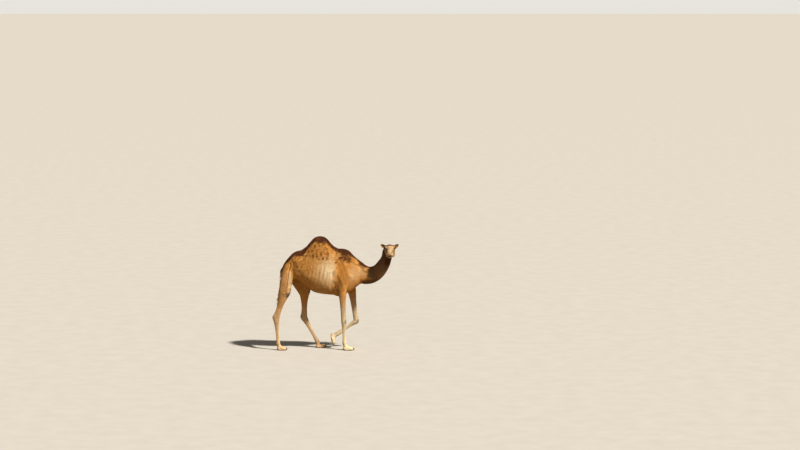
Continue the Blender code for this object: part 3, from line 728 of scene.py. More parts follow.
def in_head(points):
    """The points seen from the head's own frame, x to the nose and y to its left."""
    return carried_by(np.linalg.inv(to_head), points)


def half_face(points):
    """The points in the head's frame, its right half folded over onto the left."""
    seen = in_head(points)
    seen[:, 1] = np.abs(seen[:, 1])
    return seen


verts, faces = read(skin.data), triangles_of(skin.data)
middles = half_face(verts[faces].mean(axis=1))
eye_near = np.linalg.norm(middles - np.array(EYE), axis=1) < EYE_REGION
muzzle = (middles[:, 0] > 0.33) & (middles[:, 1] < 0.09) & (middles[:, 2] < 0.10)
verts, faces = refined(verts, faces, eye_near | muzzle)
bpy.data.objects.remove(skin)
print("skin:", len(faces), "triangles")

# %% [markdown]
# ## Folds and hollows
# A fold is a groove pressed in along a line. Each point looks for the nearest spot on the line
# and moves along its own normal by the fold's depth times a bell curve of that distance; with a
# negative depth the fold becomes a ridge. The body gets its shoulder blade, ribs and tendons this
# way, and the head its slit nostrils, split lip, mouth and the hollow over each eye. A sculptor
# would do the same with a crease brush.

# %% How a fold is pressed
def along_line(points, path, per_span=6):
    """Each point's distance to the nearest of the short straight steps of a curved path."""
    path = threaded(path, per_span) if len(path) > 2 else np.asarray(path, float)
    best = np.full(len(points), np.inf)
    for a, b in zip(path, path[1:]):
        step = b - a
        share = np.clip(((points - a) @ step) / (step @ step), 0, 1)
        best = np.minimum(best, np.linalg.norm(points - a - share[:, None] * step, axis=1))
    return best


def laid_on(points, path):
    """The path's points moved to the nearest points of the skin."""
    return [points[((points - spot) ** 2).sum(axis=1).argmin()] for spot in np.asarray(path, float)]


def facings(verts, faces):
    """The cross product of two sides of each triangle: it faces out and is twice the area long."""
    corner = verts[faces]
    return np.cross(corner[:, 1] - corner[:, 0], corner[:, 2] - corner[:, 0])


def normals_of(verts, faces):
    """Each vertex's normal: the sum of its triangles' cross products, made one long."""
    total = [np.bincount(faces.ravel(), np.repeat(column, 3), len(verts))
             for column in facings(verts, faces).T]
    return unit(np.column_stack(total))


def press(verts, faces, folds, view=lambda points: points):
    """Moves each vertex by -depth times exp(-(distance / width) squared) along its normal."""
    verts = verts.copy()
    for path, width, depth in folds:
        seen = view(verts)
        path = laid_on(seen, path)
        low, high = np.min(path, axis=0) - 3 * width, np.max(path, axis=0) + 3 * width
        near = np.flatnonzero(((seen > low) & (seen < high)).all(axis=1))
        if len(near) == 0:
            continue
        away = along_line(seen[near], path)
        facing = normals_of(verts, faces)[near]
        verts[near] -= facing * (depth * np.exp(-((away / width) ** 2)))[:, None]
    return verts


def both_sides(folds):
    """The folds of one side together with their mirror images in y."""
    mirror = [([(x, -y, z) for x, y, z in path], width, depth) for path, width, depth in folds]
    return folds + mirror


print("a straight fold's distance at its end:", along_line(np.zeros((1, 3)), [(0, 0, 0), (1, 0, 0)])[0])

# %% Folds of the body
# the line, how wide it spreads and how deep it is: first the shoulder blade's hind edge and the
# hollow behind the elbow, then the flank, the shoulder, the hip, the thigh and the ribs
BODY_FOLDS = [
    ([(0.020, 0.165, 1.700), (0.000, 0.240, 1.520), (0.000, 0.262, 1.330)], 0.030, 0.008),
    ([(0.000, 0.262, 1.360), (-0.010, 0.235, 1.180), (0.000, 0.200, 1.020)], 0.046, 0.015),
    ([(-0.060, 0.270, 1.340), (-0.065, 0.250, 1.180), (-0.050, 0.210, 1.040)], 0.085, 0.012),
    ([(0.010, 0.245, 1.180), (0.025, 0.220, 1.060)], 0.040, 0.012),
    ([(-0.735, 0.225, 1.500), (-0.715, 0.240, 1.330), (-0.690, 0.235, 1.160)], 0.042, 0.016),
    ([(0.105, 0.150, 1.700), (0.170, 0.180, 1.560), (0.250, 0.190, 1.330)], 0.022, -0.006),
    ([(0.170, 0.150, 1.720), (0.250, 0.180, 1.560), (0.320, 0.170, 1.360)], 0.024, 0.005),
    ([(0.080, 0.230, 1.360), (0.130, 0.235, 1.240), (0.180, 0.220, 1.120)], 0.024, -0.006),
    ([(-0.560, 0.210, 1.630), (-0.600, 0.225, 1.560)], 0.045, 0.010),
    ([(-0.770, 0.190, 1.560), (-0.780, 0.235, 1.380), (-0.815, 0.235, 1.180), (-0.850, 0.225, 1.060)],
     0.014, -0.006),
    ([(-0.800, 0.180, 1.560), (-0.815, 0.225, 1.380), (-0.850, 0.225, 1.180), (-0.885, 0.215, 1.060)],
     0.016, 0.008),
    ([(-0.640, 0.240, 1.400), (-0.560, 0.262, 1.300), (-0.450, 0.250, 1.180)], 0.030, 0.006),
]
for number in range(6):
    x = -0.070 - 0.070 * number
    rib = [(x, 0.268, 1.520), (x - 0.030, 0.292, 1.360), (x - 0.070, 0.262, 1.200)]
    BODY_FOLDS.append((rib, 0.015, -0.0035))

# the hollow on each side of each cannon bone, between the bone and its tendon
LEG_GROOVES = []
for name in JOINTS:
    knee, fetlock = (np.array(JOINTS[name][joint]) for joint in ("knee", "fetlock"))
    forward = unit(np.array([knee[1] - fetlock[1], fetlock[0] - knee[0]]))
    behind = -0.005 if name == "foreleg_left" else 0.005
    for beside in (-0.026, 0.026):
        y = FOOT_TREAD * leg_facts(name)[0] + beside
        line = [knee + (fetlock - knee) * share - forward * behind for share in (0.22, 0.40, 0.60, 0.80)]
        LEG_GROOVES.append(([(x, y, z) for x, z in line], 0.0075, 0.0045))
verts = press(verts, faces, both_sides(BODY_FOLDS) + LEG_GROOVES)
unfolded = verts
print(len(BODY_FOLDS), "folds on each side of the body,", len(LEG_GROOVES), "grooves on the legs")

# %% Folds of the head
NOSTRIL = [(0.412, 0.052, 0.016), (0.438, 0.047, 0.010), (0.460, 0.036, -0.006), (0.470, 0.022, -0.020)]
LIPS = [(0.335, 0.054, -0.062), (0.380, 0.058, -0.075), (0.425, 0.050, -0.081), (0.452, 0.028, -0.082),
        (0.464, 0.000, -0.081)]
PHILTRUM = [(0.470, 0, -0.014), (0.488, 0, -0.045), (0.478, 0, -0.074)]
HEAD_FOLDS = [
    (NOSTRIL, 0.0042, 0.0120),
    ([(0.404, 0.038, 0.040), (0.440, 0.038, 0.026), (0.468, 0.026, 0.004)], 0.009, -0.004),
    (LIPS, 0.0048, 0.0085),
    ([(0.335, 0.052, -0.060), (0.318, 0.054, -0.074)], 0.010, 0.003),
    ([(0.225, 0.072, 0.006), (0.270, 0.060, -0.012), (0.330, 0.054, -0.030)], 0.020, 0.004),
    ([(0.120, 0.078, 0.084), (0.100, 0.082, 0.066)], 0.020, 0.006),
    ([(0.070, 0.094, -0.086), (0.150, 0.082, -0.104), (0.240, 0.056, -0.098)], 0.011, -0.004),
    ([(0.250, 0.045, 0.058), (0.320, 0.038, 0.044), (0.370, 0.030, 0.040)], 0.012, -0.002),
    ([(0.350, 0.050, -0.104), (0.410, 0.040, -0.112)], 0.008, 0.003),
]
MIDLINE_FOLDS = [
    (PHILTRUM, 0.0042, 0.0080),
    ([(0.478, 0, -0.092), (0.470, 0, -0.112)], 0.010, 0.002),
]
verts = press(verts, faces, both_sides(HEAD_FOLDS) + MIDLINE_FOLDS, in_head)
print(len(HEAD_FOLDS), "folds on each side of the head and", len(MIDLINE_FOLDS), "down its middle")

# %% [markdown]
# ## Toes
# The two toes part at the front of the pad and the sole spreads like a cushion. The cleft is a
# fold like the others, laid in each foot's own frame.

# %% Cleave the toes
for name in JOINTS:
    _, ankle, size = leg_facts(name)
    to_foot = np.linalg.inv(foot_matrix(name))
    line = ((0.172, 0.010), (0.140, 0.050), (0.090, 0.068))
    cleft = [(reach * size, 0, height - ankle) for reach, height in line]
    verts = press(verts, faces, [(cleft, 0.0085, 0.016)], lambda points: carried_by(to_foot, points))
verts[:, 2] = np.maximum(verts[:, 2], 0.0)
print("four feet cleft")

# %% [markdown]
# ## Ears
# A camel's ear is a small rounded leaf, rolled into a cup. Its section is an oval whose front
# is scooped back: the middle of the oval moves back by the scoop's depth times the squared sine,
# so the rim stands forward and the wall stays a few millimetres thick.

# %% Ears
def ear(side, rings=26, sides=28):
    """A leaf along the ear's aim: across by the half width, and back by the scoop in the middle.

    Half its thickness is 14 mm at the root and 2 mm at the tip, and the tip closes in an arc.
    """
    u = np.linspace(-0.10, 1.0, rings)
    table = np.array(EAR)
    half = np.interp(u, [*table[:, 0], 1.02], [*table[:, 1], 0.002])
    half = half * np.where(u > 0.84, np.sqrt(np.clip((1.02 - u) / 0.18, 0, 1)) * 0.9 + 0.1, 1)
    scoop = 0.017 * np.clip((u - 0.10) / 0.30, 0, 1) * np.clip((1.0 - u) / 0.35, 0, 1)
    wall = np.interp(u, [-0.1, 0.3, 1.0], [0.014, 0.0045, 0.0022])
    aim = unit(np.array(EAR_AIM))
    broad = np.array([0.1, -0.62, 0.80])
    broad = unit(broad - aim * (broad @ aim))
    facing = np.cross(aim, broad)
    bow = -0.012 * np.sin(math.pi * np.clip(u, 0, 1))
    centre = np.array(EAR_ROOT) + aim * (EAR_LENGTH * u)[:, None] + np.array([1.0, 0, 0]) * bow[:, None]
    cos, sin = np.cos(full_turn(sides)), np.sin(full_turn(sides))
    depth = wall[:, None] * sin - scoop[:, None] * sin**2 + 0.005 * (1 - u[:, None])
    grid = centre[:, None] + broad * (half[:, None] * cos)[..., None] + facing * depth[..., None]
    made, tris = shell(grid)
    if side == RIGHT:
        made, tris = made * (1, -1, 1), tris[:, ::-1]
    edge = np.maximum(np.abs(cos) ** 6 + 0 * u[:, None], np.clip((u[:, None] - 0.70) / 0.25, 0, 1))
    edge = np.maximum(edge, 0.45 * (sin > 0.2)) * (u[:, None] > 0.05)
    return placed((made, tris), to_head), np.append(edge.ravel(), [0, 1])


ears, edges = zip(*(ear(side) for side in (LEFT, RIGHT)))
ear_edge = np.concatenate(edges)
print("an ear has", len(ears[0][1]), "triangles")

# %% [markdown]
# ## Eyes and lids
# The eyeball is a ball with a bulging front, and its iris and pupil are found by the angle from
# its gaze: a camel's pupil is a wide slot. The lids are one ring round it. Seen from the eye's
# middle, the ring starts tucked in behind the opening, rolls over a thick wet edge and runs out
# until it sinks into the face, so no edge of it shows.

# %% Where an eye looks
GAZE = np.array([0.34, 0.93, 0.04])


def looking(side):
    """The eye's middle and three directions: the gaze, forwards along the slit, and up."""
    mirror = np.array([1, side, 1])
    gaze = unit(GAZE * mirror)
    ahead = unit(np.array([1.0, 0, -0.16]) - gaze * gaze[0])
    ahead = unit(ahead - gaze * (ahead @ gaze))
    up = np.cross(ahead, gaze) * -side
    up = up * math.copysign(1.0, up[2])
    return np.array(EYE) * mirror, gaze, ahead, up


def round_eye(side, polar, radius, angle):
    """Points at polar angles from the gaze: middle plus radius times the direction."""
    middle, gaze, ahead, up = looking(side)
    flat = ahead * np.cos(angle)[..., None] + up * np.sin(angle)[..., None]
    return middle + radius[..., None] * (gaze * np.cos(polar)[..., None] + flat * np.sin(polar)[..., None])


def turned_out(shape, middle):
    """The same triangles, turned about if they face their middle."""
    made, tris = shape
    outward = (facings(made, tris) * (made[tris].mean(axis=1) - middle)).sum() > 0
    return (made, tris) if outward else (made, tris[:, ::-1])


def opening(angle, droop):
    """The polar angle of the lids' edge: 34, plus 14 cos squared, plus 3 cos, less the droop above."""
    return np.radians(34 + 14 * np.cos(angle) ** 2 + 3 * np.cos(angle) - droop * np.clip(np.sin(angle), 0, 1))


print("the left eye's middle, seen from the head:", looking(LEFT)[0])

# %% Eyeballs and lids
# how far past the opening's edge in degrees, and how high over the eyeball in metres
LID = ((16, -0.0020), (7, -0.0006), (0, 0.0004), (-2.5, 0.0018), (-1, 0.0034), (5, 0.0046),
       (14, 0.0050), (26, 0.0046), (40, 0.0038), (56, 0.0020), (74, -0.0010), (92, -0.0060))
WET_ROWS = 6  # this many rows, from the inner edge outwards, are bare and dark


def eye_ball(side, rings=34, sides=48):
    """Radius times 0.97, plus a bulge of 0.06 times e to the power of -(polar / 0.55) squared."""
    polar = np.linspace(0.03, math.pi - 0.03, rings)[:, None] + np.zeros(sides)
    angle = full_turn(sides)[None, :] + np.zeros((rings, 1))
    radius = EYE_RADIUS * (0.97 + 0.06 * np.exp(-((polar / 0.55) ** 2)))
    globe = turned_out(shell(round_eye(side, polar, radius, angle)), looking(side)[0])
    flat_angle, flat_polar = np.append(angle.ravel(), [0, 0]), np.append(polar.ravel(), [0, math.pi])
    slot = np.hypot(flat_polar * np.cos(flat_angle) / 0.46, flat_polar * np.sin(flat_angle) / 0.22)
    return placed(globe, to_head), flat_polar, slot


def lids(side, sides=64):
    """The ring: polar angle is the opening's, and radius the eyeball's plus the lid's height."""
    angle = full_turn(sides)
    past, height = np.array(LID).T[:, :, None]
    thick = 1 + 0.45 * np.clip(np.sin(angle), 0, 1)
    polar = opening(angle, 3)[None] + np.radians(past)
    radius = EYE_RADIUS + height * np.where(height > 0, thick, 1.0)
    grid = round_eye(side, polar, radius, angle + np.zeros((len(LID), 1)))
    rings = np.arange(len(LID) * sides).reshape(len(LID), sides)
    tris = walls(np.vstack([rings, rings[:1]]))
    ring = turned_out((grid.reshape(-1, 3), tris), looking(side)[0])
    return placed(ring, to_head), np.repeat(np.arange(len(LID)), sides) < WET_ROWS


body_count = len(verts)
lid_rings, wet_rims = zip(*(lids(side) for side in (LEFT, RIGHT)))
verts, faces = gathered([(verts, faces), *ears, *lid_rings])
unfolded = np.vstack([unfolded, verts[body_count:]])
rim = np.zeros(len(verts))
rim[-sum(len(wet) for wet in wet_rims):] = np.concatenate(wet_rims)
is_ear = np.zeros(len(verts), bool)
is_ear[body_count : body_count + sum(len(made) for made, _ in ears)] = True
normals = normals_of(verts, faces)
print("skin with ears and lids:", len(faces), "triangles")

# %% [markdown]
# ## Markings
# The camel is sandy tan. Its hump top, back line, shoulders and neck carry dark brown curly wool,
# and over the upper neck this dark is partly the head's cast shadow, painted. Its face and lower
# legs fade to cream, and so do the ribs behind the shoulder, where the cream is partly a painted
# highlight. The chest, the neck's base and the thighs get painted highlights, and the front of the
# shoulder, the underside of the jaw and the face beside the eyes and nose get painted shade. Where
# it kneels the skin is bare grey callous. Each marking is a mask from 0 to 1 worked out from a
# point's place on the animal. Masks are stored on the skin and on every lock, so both are coloured
# by the same rule and no picture is needed.

# %% Ramps, ripples and spots
def ramp(value, low, high):
    """0 below low, 1 above high and an S-shaped rise between, 3t2 - 2t3."""
    t = np.clip((value - low) / (high - low), 0, 1)
    return t * t * (3 - 2 * t)


def ripple(points, scale, seed, waves=14):
    """Soft noise about 0: sines in random directions, added, over the root of their number."""
    dice = np.random.default_rng(seed)
    run = unit(dice.normal(size=(waves, 3))) * scale * dice.uniform(0.6, 1.5, waves)[:, None]
    return np.sin(points @ run.T + dice.uniform(0, 6.28, waves)).sum(axis=1) / math.sqrt(waves)


def spots(points, centres, reach):
    """1 at any of the centres, falling to 0 about `reach` away."""
    away = np.min([np.linalg.norm(points - np.array(centre), axis=1) for centre in centres], axis=0)
    return 1 - ramp(away, reach * 0.6, reach * 1.15)


def bell(*offsets_and_widths):
    """e to the power of minus the sum of (offset / width) squared."""
    return np.exp(-sum((offset / width) ** 2 for offset, width in offsets_and_widths))


def top_line(points, step=0.01):
    """The highest level in each slice of x, smoothed: the animal's own back line."""
    slots = np.arange(-1.0, 0.80, step)
    slot = np.clip(((points[:, 0] + 1.0) / step).astype(int), 0, len(slots) - 1)
    top = np.full(len(slots), -np.inf)
    np.maximum.at(top, slot[points[:, 1] > -0.10], points[points[:, 1] > -0.10, 2])
    return slots + step / 2, np.convolve(np.pad(top, 3, "edge"), np.full(7, 1 / 7), "valid")


print("half way up a ramp:", ramp(0.5, 0, 1))

# %% Where each point of the skin is
lie, _, part, share, angle = ask(verts)
part[is_ear] = PARTS.index("head")
x, y, z = verts.T
skull_x, skull_y, skull_z = in_head(verts).T
is_part = {name: part == number for number, name in enumerate(PARTS)}
head, neck, tail = is_part["head"], is_part["neck"], is_part["tail"]
fore = is_part["foreleg_right"] | is_part["foreleg_left"]
hind = is_part["hindleg_right"] | is_part["hindleg_left"]
bulk = ~(head | neck | tail)  # barrel, hump and legs
torso = bulk | (neck & (x < 0.72))
patchy, curly = ripple(verts, 26, 1), ripple(verts, 75, 2)
under_crest = np.interp(x, *top_line(verts)) - z
print({name: int(where.sum()) for name, where in is_part.items()})

# %% Dark wool on hump, back and shoulders
hump_top = ramp(z + 0.014 * patchy + 0.008 * curly, 1.925, 1.955) * bulk
thick = np.interp(x, [-0.90, -0.80, -0.66, -0.45, -0.30, -0.08, 0.10, 0.35, 0.60],
                  [0.025, 0.045, 0.060, 0.070, 0.040, 0.030, 0.028, 0.020, 0.014])
back_line = 1 - ramp(under_crest + 0.010 * patchy + 0.006 * curly, thick, thick + 0.024)
back_line = back_line * torso * (z > 1.40)
streaks = 0.6 * bell((under_crest - 0.085 - 0.02 * patchy, 0.014)) * ramp(x, 0.34, 0.40)
streaks = streaks * (1 - ramp(x, 0.56, 0.64)) * torso
shoulder_low = np.interp(x, [0.00, 0.04, 0.10, 0.21, 0.32, 0.42], [1.68, 1.62, 1.57, 1.60, 1.63, 1.66])
shoulder = ramp(z - shoulder_low + 0.040 * patchy + 0.022 * curly, -0.03, 0.04)
shoulder = shoulder * ramp(x + 0.006 * curly, 0.008, 0.030) * (1 - ramp(x + 0.010 * patchy, 0.30, 0.36))
shoulder = shoulder * (1 - 0.45 * ramp(ripple(verts, 120, 5), 0.0, 0.9) * (z < 1.72))
shoulder = shoulder * ~is_part["hump"]
mottled = ramp(z, 1.52, 1.72) * (1 - ramp(x, -0.10, 0.00)) * ramp(x, -0.86, -0.74) * 0.85
mottled = np.maximum(mottled, ramp(x, 0.02, 0.05) * ramp(z, 1.44, 1.60) * (1 - ramp(x, 0.30, 0.42)) * 0.85)
mottled = np.maximum(mottled, bell((x + 0.62, 0.16), (z - 1.52, 0.16)) * 0.7)
mottled = mottled * bulk * ramp(ripple(verts, 100, 3) + 0.8 * ripple(verts, 200, 4), 0.00, 1.50)
body_wool = np.max([hump_top, back_line, streaks, shoulder, mottled], axis=0)
print("dark wool on", round(float(body_wool.mean()), 3), "of the skin so far")

# %% Dark wool on neck, head and tail, with the head's painted shadow on the neck and painted shade under the jaw
throat = ramp(-np.cos(angle - math.pi / 2), 0.55, 0.85) * neck * ramp(share, 0.08, 0.20)
# the dark upper neck is dark wool together with the head's cast shadow on the neck, painted; its edge follows
# that shadow's edge
head_shadow_edge = np.interp(z, [1.22, 1.27, 1.33, 1.45, 1.53, 1.62], [0.70, 0.66, 0.585, 0.65, 0.706, 0.76])
neck_wool_and_head_shadow = neck * ramp(x - head_shadow_edge + 0.010 * patchy + 0.006 * curly, -0.012, 0.016)
neck_wool_and_head_shadow = neck_wool_and_head_shadow * np.clip(np.interp(z, [1.40, 1.66], [0.72, 1.0]) + 0.10 * patchy, 0, 1)
crown = head * ramp(skull_z - 0.25 * skull_x, 0.042, 0.064) * (1 - ramp(skull_x, 0.13, 0.20))
brow = head * ramp(skull_z + 0.004 * curly, 0.072, 0.086) * (1 - ramp(skull_x, 0.19, 0.25))
ruff = head * (1 - ramp(skull_x, 0.03, 0.095))
# darker under the jaw: throat wool and painted shade under the head
jowl_wool_and_shade = head * ramp(-skull_z, 0.095, 0.120) * (1 - ramp(skull_x, 0.22, 0.34)) * 0.6
tail_end = tail * ramp(share, 0.45, 0.65)
wool = np.max([body_wool, 0.85 * throat, neck_wool_and_head_shadow, 0.85 * crown, 0.95 * brow, 0.95 * ruff, jowl_wool_and_shade,
               tail_end], axis=0)
wool = np.clip(wool, 0, 1)
print("dark wool on", round(float(wool.mean()), 3), "of the skin")

# %% Cream with painted highlights, and a warm tint with painted shade on the shoulder
# cream behind the shoulder, partly a painted highlight on the sunlit barrel
ribs_cream_and_highlight = bell((x + 0.05, np.where(x < -0.05, 0.23, 0.08)), (z - 1.44, 0.22)) * bulk
# painted highlight on the chest
chest_highlight = 0.45 * (bell((x - 0.35, 0.09), (z - 1.38, 0.16)) * bulk)
fore_low = fore * (1 - ramp(z, 0.55, 1.10))
hind_low = hind * (1 - ramp(z, 0.50, 0.95)) * 0.60
# painted light on the outer side of the hind thighs
thigh_painted_light = 0.24 * hind * ramp(np.abs(y), 0.12, 0.20) * ramp(z, 0.66, 0.80) * (1 - ramp(z, 1.34, 1.56))
# painted highlight on the neck's base
neck_base_highlight = 0.50 * bell((x - 0.50, 0.08), (z - 1.42, 0.12)) * torso
# painted highlight down the front edge of the near thigh
thigh_edge_highlight = 0.9 * (bell((x + 0.782 + 0.14 * (1.30 - z), 0.026)) * hind * ramp(z, 0.95, 1.10))
cheek = ramp(np.abs(skull_y), 0.045, 0.085) * (1 - ramp(skull_x, 0.36, 0.42))
face = head * ramp(skull_x, 0.05, 0.14) * (0.68 - 0.28 * cheek)
pale = np.max([ribs_cream_and_highlight, chest_highlight, fore_low, hind_low, thigh_edge_highlight, face, thigh_painted_light, neck_base_highlight], axis=0)
# half cream is mixed into the dark wool and painted shadow of the upper neck
pale = np.maximum(np.clip(pale - wool, 0, 1), 0.5 * neck_wool_and_head_shadow)
# a warmer, darker tint on the face and lower legs, and painted shade on the front of the shoulder
tint_and_shoulder_shade = np.max([0.33 * head * ramp(skull_x, 0.05, 0.14), 0.14 * fore * (1 - ramp(z, 0.70, 1.00)),
               0.20 * hind * (1 - ramp(z, 0.55, 0.75)),
               0.20 * ramp(x, 0.06, 0.14) * (1 - ramp(x, 0.30, 0.40)) * bulk * ramp(z, 1.10, 1.30)], axis=0)
wool = np.maximum(wool, tint_and_shoulder_shade)
print("cream on", round(float(pale.mean()), 3), "of the skin")

# %% Bare callous
CHEST_PAD = [(0.090, 0, 0.945)]
ELBOWS = [(0.060, -0.165, 1.070), (0.215, 0.165, 1.060)]
STIFLES = [(-0.820, -0.180, 0.990), (-0.470, 0.175, 1.010)]


def at_joint(name, forwards, height):
    """A spot in front of a leg's knee or hock at a given height."""
    return (JOINTS[name]["knee"][0] + forwards, FOOT_TREAD * leg_facts(name)[0], height)


knees = [at_joint(name, 0.035, JOINTS[name]["knee"][1] - 0.005)
         for name in ("foreleg_right", "foreleg_left")]
hocks = [at_joint("hindleg_right", -0.05, 0.60), at_joint("hindleg_left", -0.05, 0.57)]
soles = (1 - ramp(z, 0.006, 0.016)) * 0.9
bare = np.max([0.8 * spots(verts, knees, 0.055), spots(verts, STIFLES, 0.070),
               0.8 * spots(verts, ELBOWS, 0.045), 0.5 * spots(verts, hocks, 0.030),
               spots(verts, CHEST_PAD, 0.095), soles], axis=0)
lifted_z = carried_by(np.linalg.inv(foot_matrix("foreleg_left")), verts)[:, 2]
lifted_pad = (lifted_z < 0.012 - FORE_ANKLE) & is_part["foreleg_left"]
bare = np.clip(bare + 0.35 * lifted_pad, 0, 1)
print("bare skin on", round(float(bare.mean()), 3), "of the skin")

# %% Near black on lips, nostrils and eyes, and painted shade beside the eyes and nose
on_face = half_face(unfolded)


def beside(path, low, high):
    """1 on a line of the face, falling to 0 between two distances from it."""
    return 1 - ramp(along_line(on_face, path), low, high)


eye_ring = 1 - ramp(np.linalg.norm(on_face - np.array(EYE), axis=1), 0.028, 0.044)
# a dark tear patch under each eye with the painted shade of its hollow, and the nose bridge's painted shadow
# down each side of the face
tear_patch_and_eye_shade = 1 - ramp(np.linalg.norm((on_face - (0.172, 0.084, 0.006)) * (1, 1, 0.6), axis=1), 0.012, 0.042)
nose_bridge_shadow = beside([(0.200, 0.082, 0.030), (0.262, 0.062, 0.004), (0.330, 0.056, -0.020)], 0.009, 0.030)
dusk = np.max([0.95 * beside(laid_on(on_face, LIPS), 0.006, 0.016),
               beside(laid_on(on_face, NOSTRIL), 0.0035, 0.0085),
               0.85 * beside(laid_on(on_face, PHILTRUM), 0.003, 0.009),
               0.85 * eye_ring, 0.7 * tear_patch_and_eye_shade, 0.55 * nose_bridge_shadow], axis=0)
dusk = dusk * (on_face[:, 0] > 0.10) * on_head(unfolded)
wool[is_ear], pale[is_ear], dusk[is_ear] = 0.10 + 0.80 * ear_edge, 0.45 * (1 - ear_edge), 0.40 * ear_edge
dusk = np.maximum(dusk, rim)
print("near black on", round(float(dusk.mean()), 3), "of the skin")

# %% The finished skin
def give(obj, **masks):
    """Stores masks on the mesh as one number for each vertex."""
    for name, values in masks.items():
        attribute = obj.data.attributes.new(name, "FLOAT", "POINT")
        attribute.data.foreach_set("value", np.asarray(values, np.float32))


lie = unit(lie - normals * (lie * normals).sum(axis=1, keepdims=True))
skin = mesh_object("skin", verts + TO_ORIGIN, faces)
give(skin, wool=wool, pale=pale, bare=bare, dusk=dusk)
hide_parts(*FLESH_NODES)
print("the skin replaces", len(FLESH_NODES), "nodes")

# %% Eyeballs
globes, polars, slots = zip(*(eye_ball(side) for side in (LEFT, RIGHT)))
eye_verts, eye_faces = gathered(globes)
eyeballs = mesh_object("eyeballs", eye_verts + TO_ORIGIN, eye_faces)
give(eyeballs, polar=np.concatenate(polars), slot=np.concatenate(slots))
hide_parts("eye_left", "eye_right")
print("eyeballs:", len(eye_faces), "triangles")

# %% [markdown]
# ## Toenails
# Two small horn nails cap the front of each foot. Each is a flattened ball, arched over the toe
# and drawn out forwards, with fine ridges along it and a tip that bends down with the square of
# the distance from its middle.

# %% Toenails
NAIL = (0.0225, 0.0140, 0.0110)  # half length, half width, half height


def nail(leg, toe):
    """A ball whose front bends down by 0.003 times its reach squared, ridged by a cosine across."""
    side, ankle, size = leg_facts(leg)
    made, tris = ball((0, 0, 0), NAIL, segments=24, rings=14)
    reach = made[:, 0] / NAIL[0]
    made[:, 2] -= 0.0030 * reach**2 * (reach > 0)
    made[:, 2] += 0.0012 * np.cos(made[:, 1] / NAIL[1] * 9) * (reach > -0.3)
    turn = Matrix.Rotation(math.radians(38), 3, "Y") @ Matrix.Rotation(math.radians(9 * toe), 3, "Z")
    made = made @ np.array(turn).T + np.array([0.157 * size, 0.046 * size * toe, -ankle + 0.026])
    return placed((made, tris), foot_matrix(leg))


nails = [nail(leg, toe) for leg in JOINTS for toe in (LEFT, RIGHT)]
nail_verts, nail_faces = gathered(nails)
toenails = mesh_object("toenails", nail_verts + TO_ORIGIN, nail_faces)
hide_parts(*(name for name in frame["nodes"] if name.startswith("nail")))
print(len(nails), "toenails,", len(nail_faces), "triangles")

# %% [markdown]
# ## Locks of hair
# Hair is far too fine to model strand by strand, and a hair system wouldn't survive an export.
# A coat reads as hair when it is made of small locks, each a solid sliver that starts under the
# skin, rises to the coat's depth, lies down along its neighbours and ends in a point. A lock is
# computed as a few three-cornered rings and a tip. Wool is the same lock with a spiral in it.
# All locks of one piece of coat are made at once, as one array.

# %% Curvature, so that locks hug the body
def bending(verts, faces, normals, lie):
    """How fast the surface falls away along the hair.

    It is the mean of (change of normal . step) / step squared over a vertex's edges, and the
    edges that run with the hair count most.
    """
    a, b = np.vstack([faces[:, [0, 1]], faces[:, [1, 2]], faces[:, [2, 0]]]).T
    step = verts[b] - verts[a]
    square = np.maximum((step**2).sum(axis=1), 1e-9)
    rate = ((normals[b] - normals[a]) * step).sum(axis=1) / square
    total, counted = np.zeros(len(verts)), np.zeros(len(verts))
    for end in (a, b):
        aligned = ((step * lie[end]).sum(axis=1) ** 2 / square) ** 2 + 1e-4
        total += np.bincount(end, aligned * rate, len(verts))
        counted += np.bincount(end, aligned, len(verts))
    return total / np.maximum(counted, 1e-9)


# a hollow may bend a lock upwards only a little on the neck and head, where locks would stick out
most_hollow = np.where(neck | head, -4, -20)
curve = np.maximum(np.clip(bending(verts, faces, normals, lie), -20, 25), most_hollow)
for _ in range(3):
    around = np.bincount(faces.ravel(), np.repeat(curve[faces].mean(axis=1), 3), len(verts))
    curve = around / np.maximum(np.bincount(faces.ravel(), minlength=len(verts)), 1)
print("mean curvature along the hair", round(float(curve.mean()), 2))

# %% One lock, many times
ROOT_DEPTH = 0.0012
TURNS = 1.15  # how often a curl winds round on its way to the tip


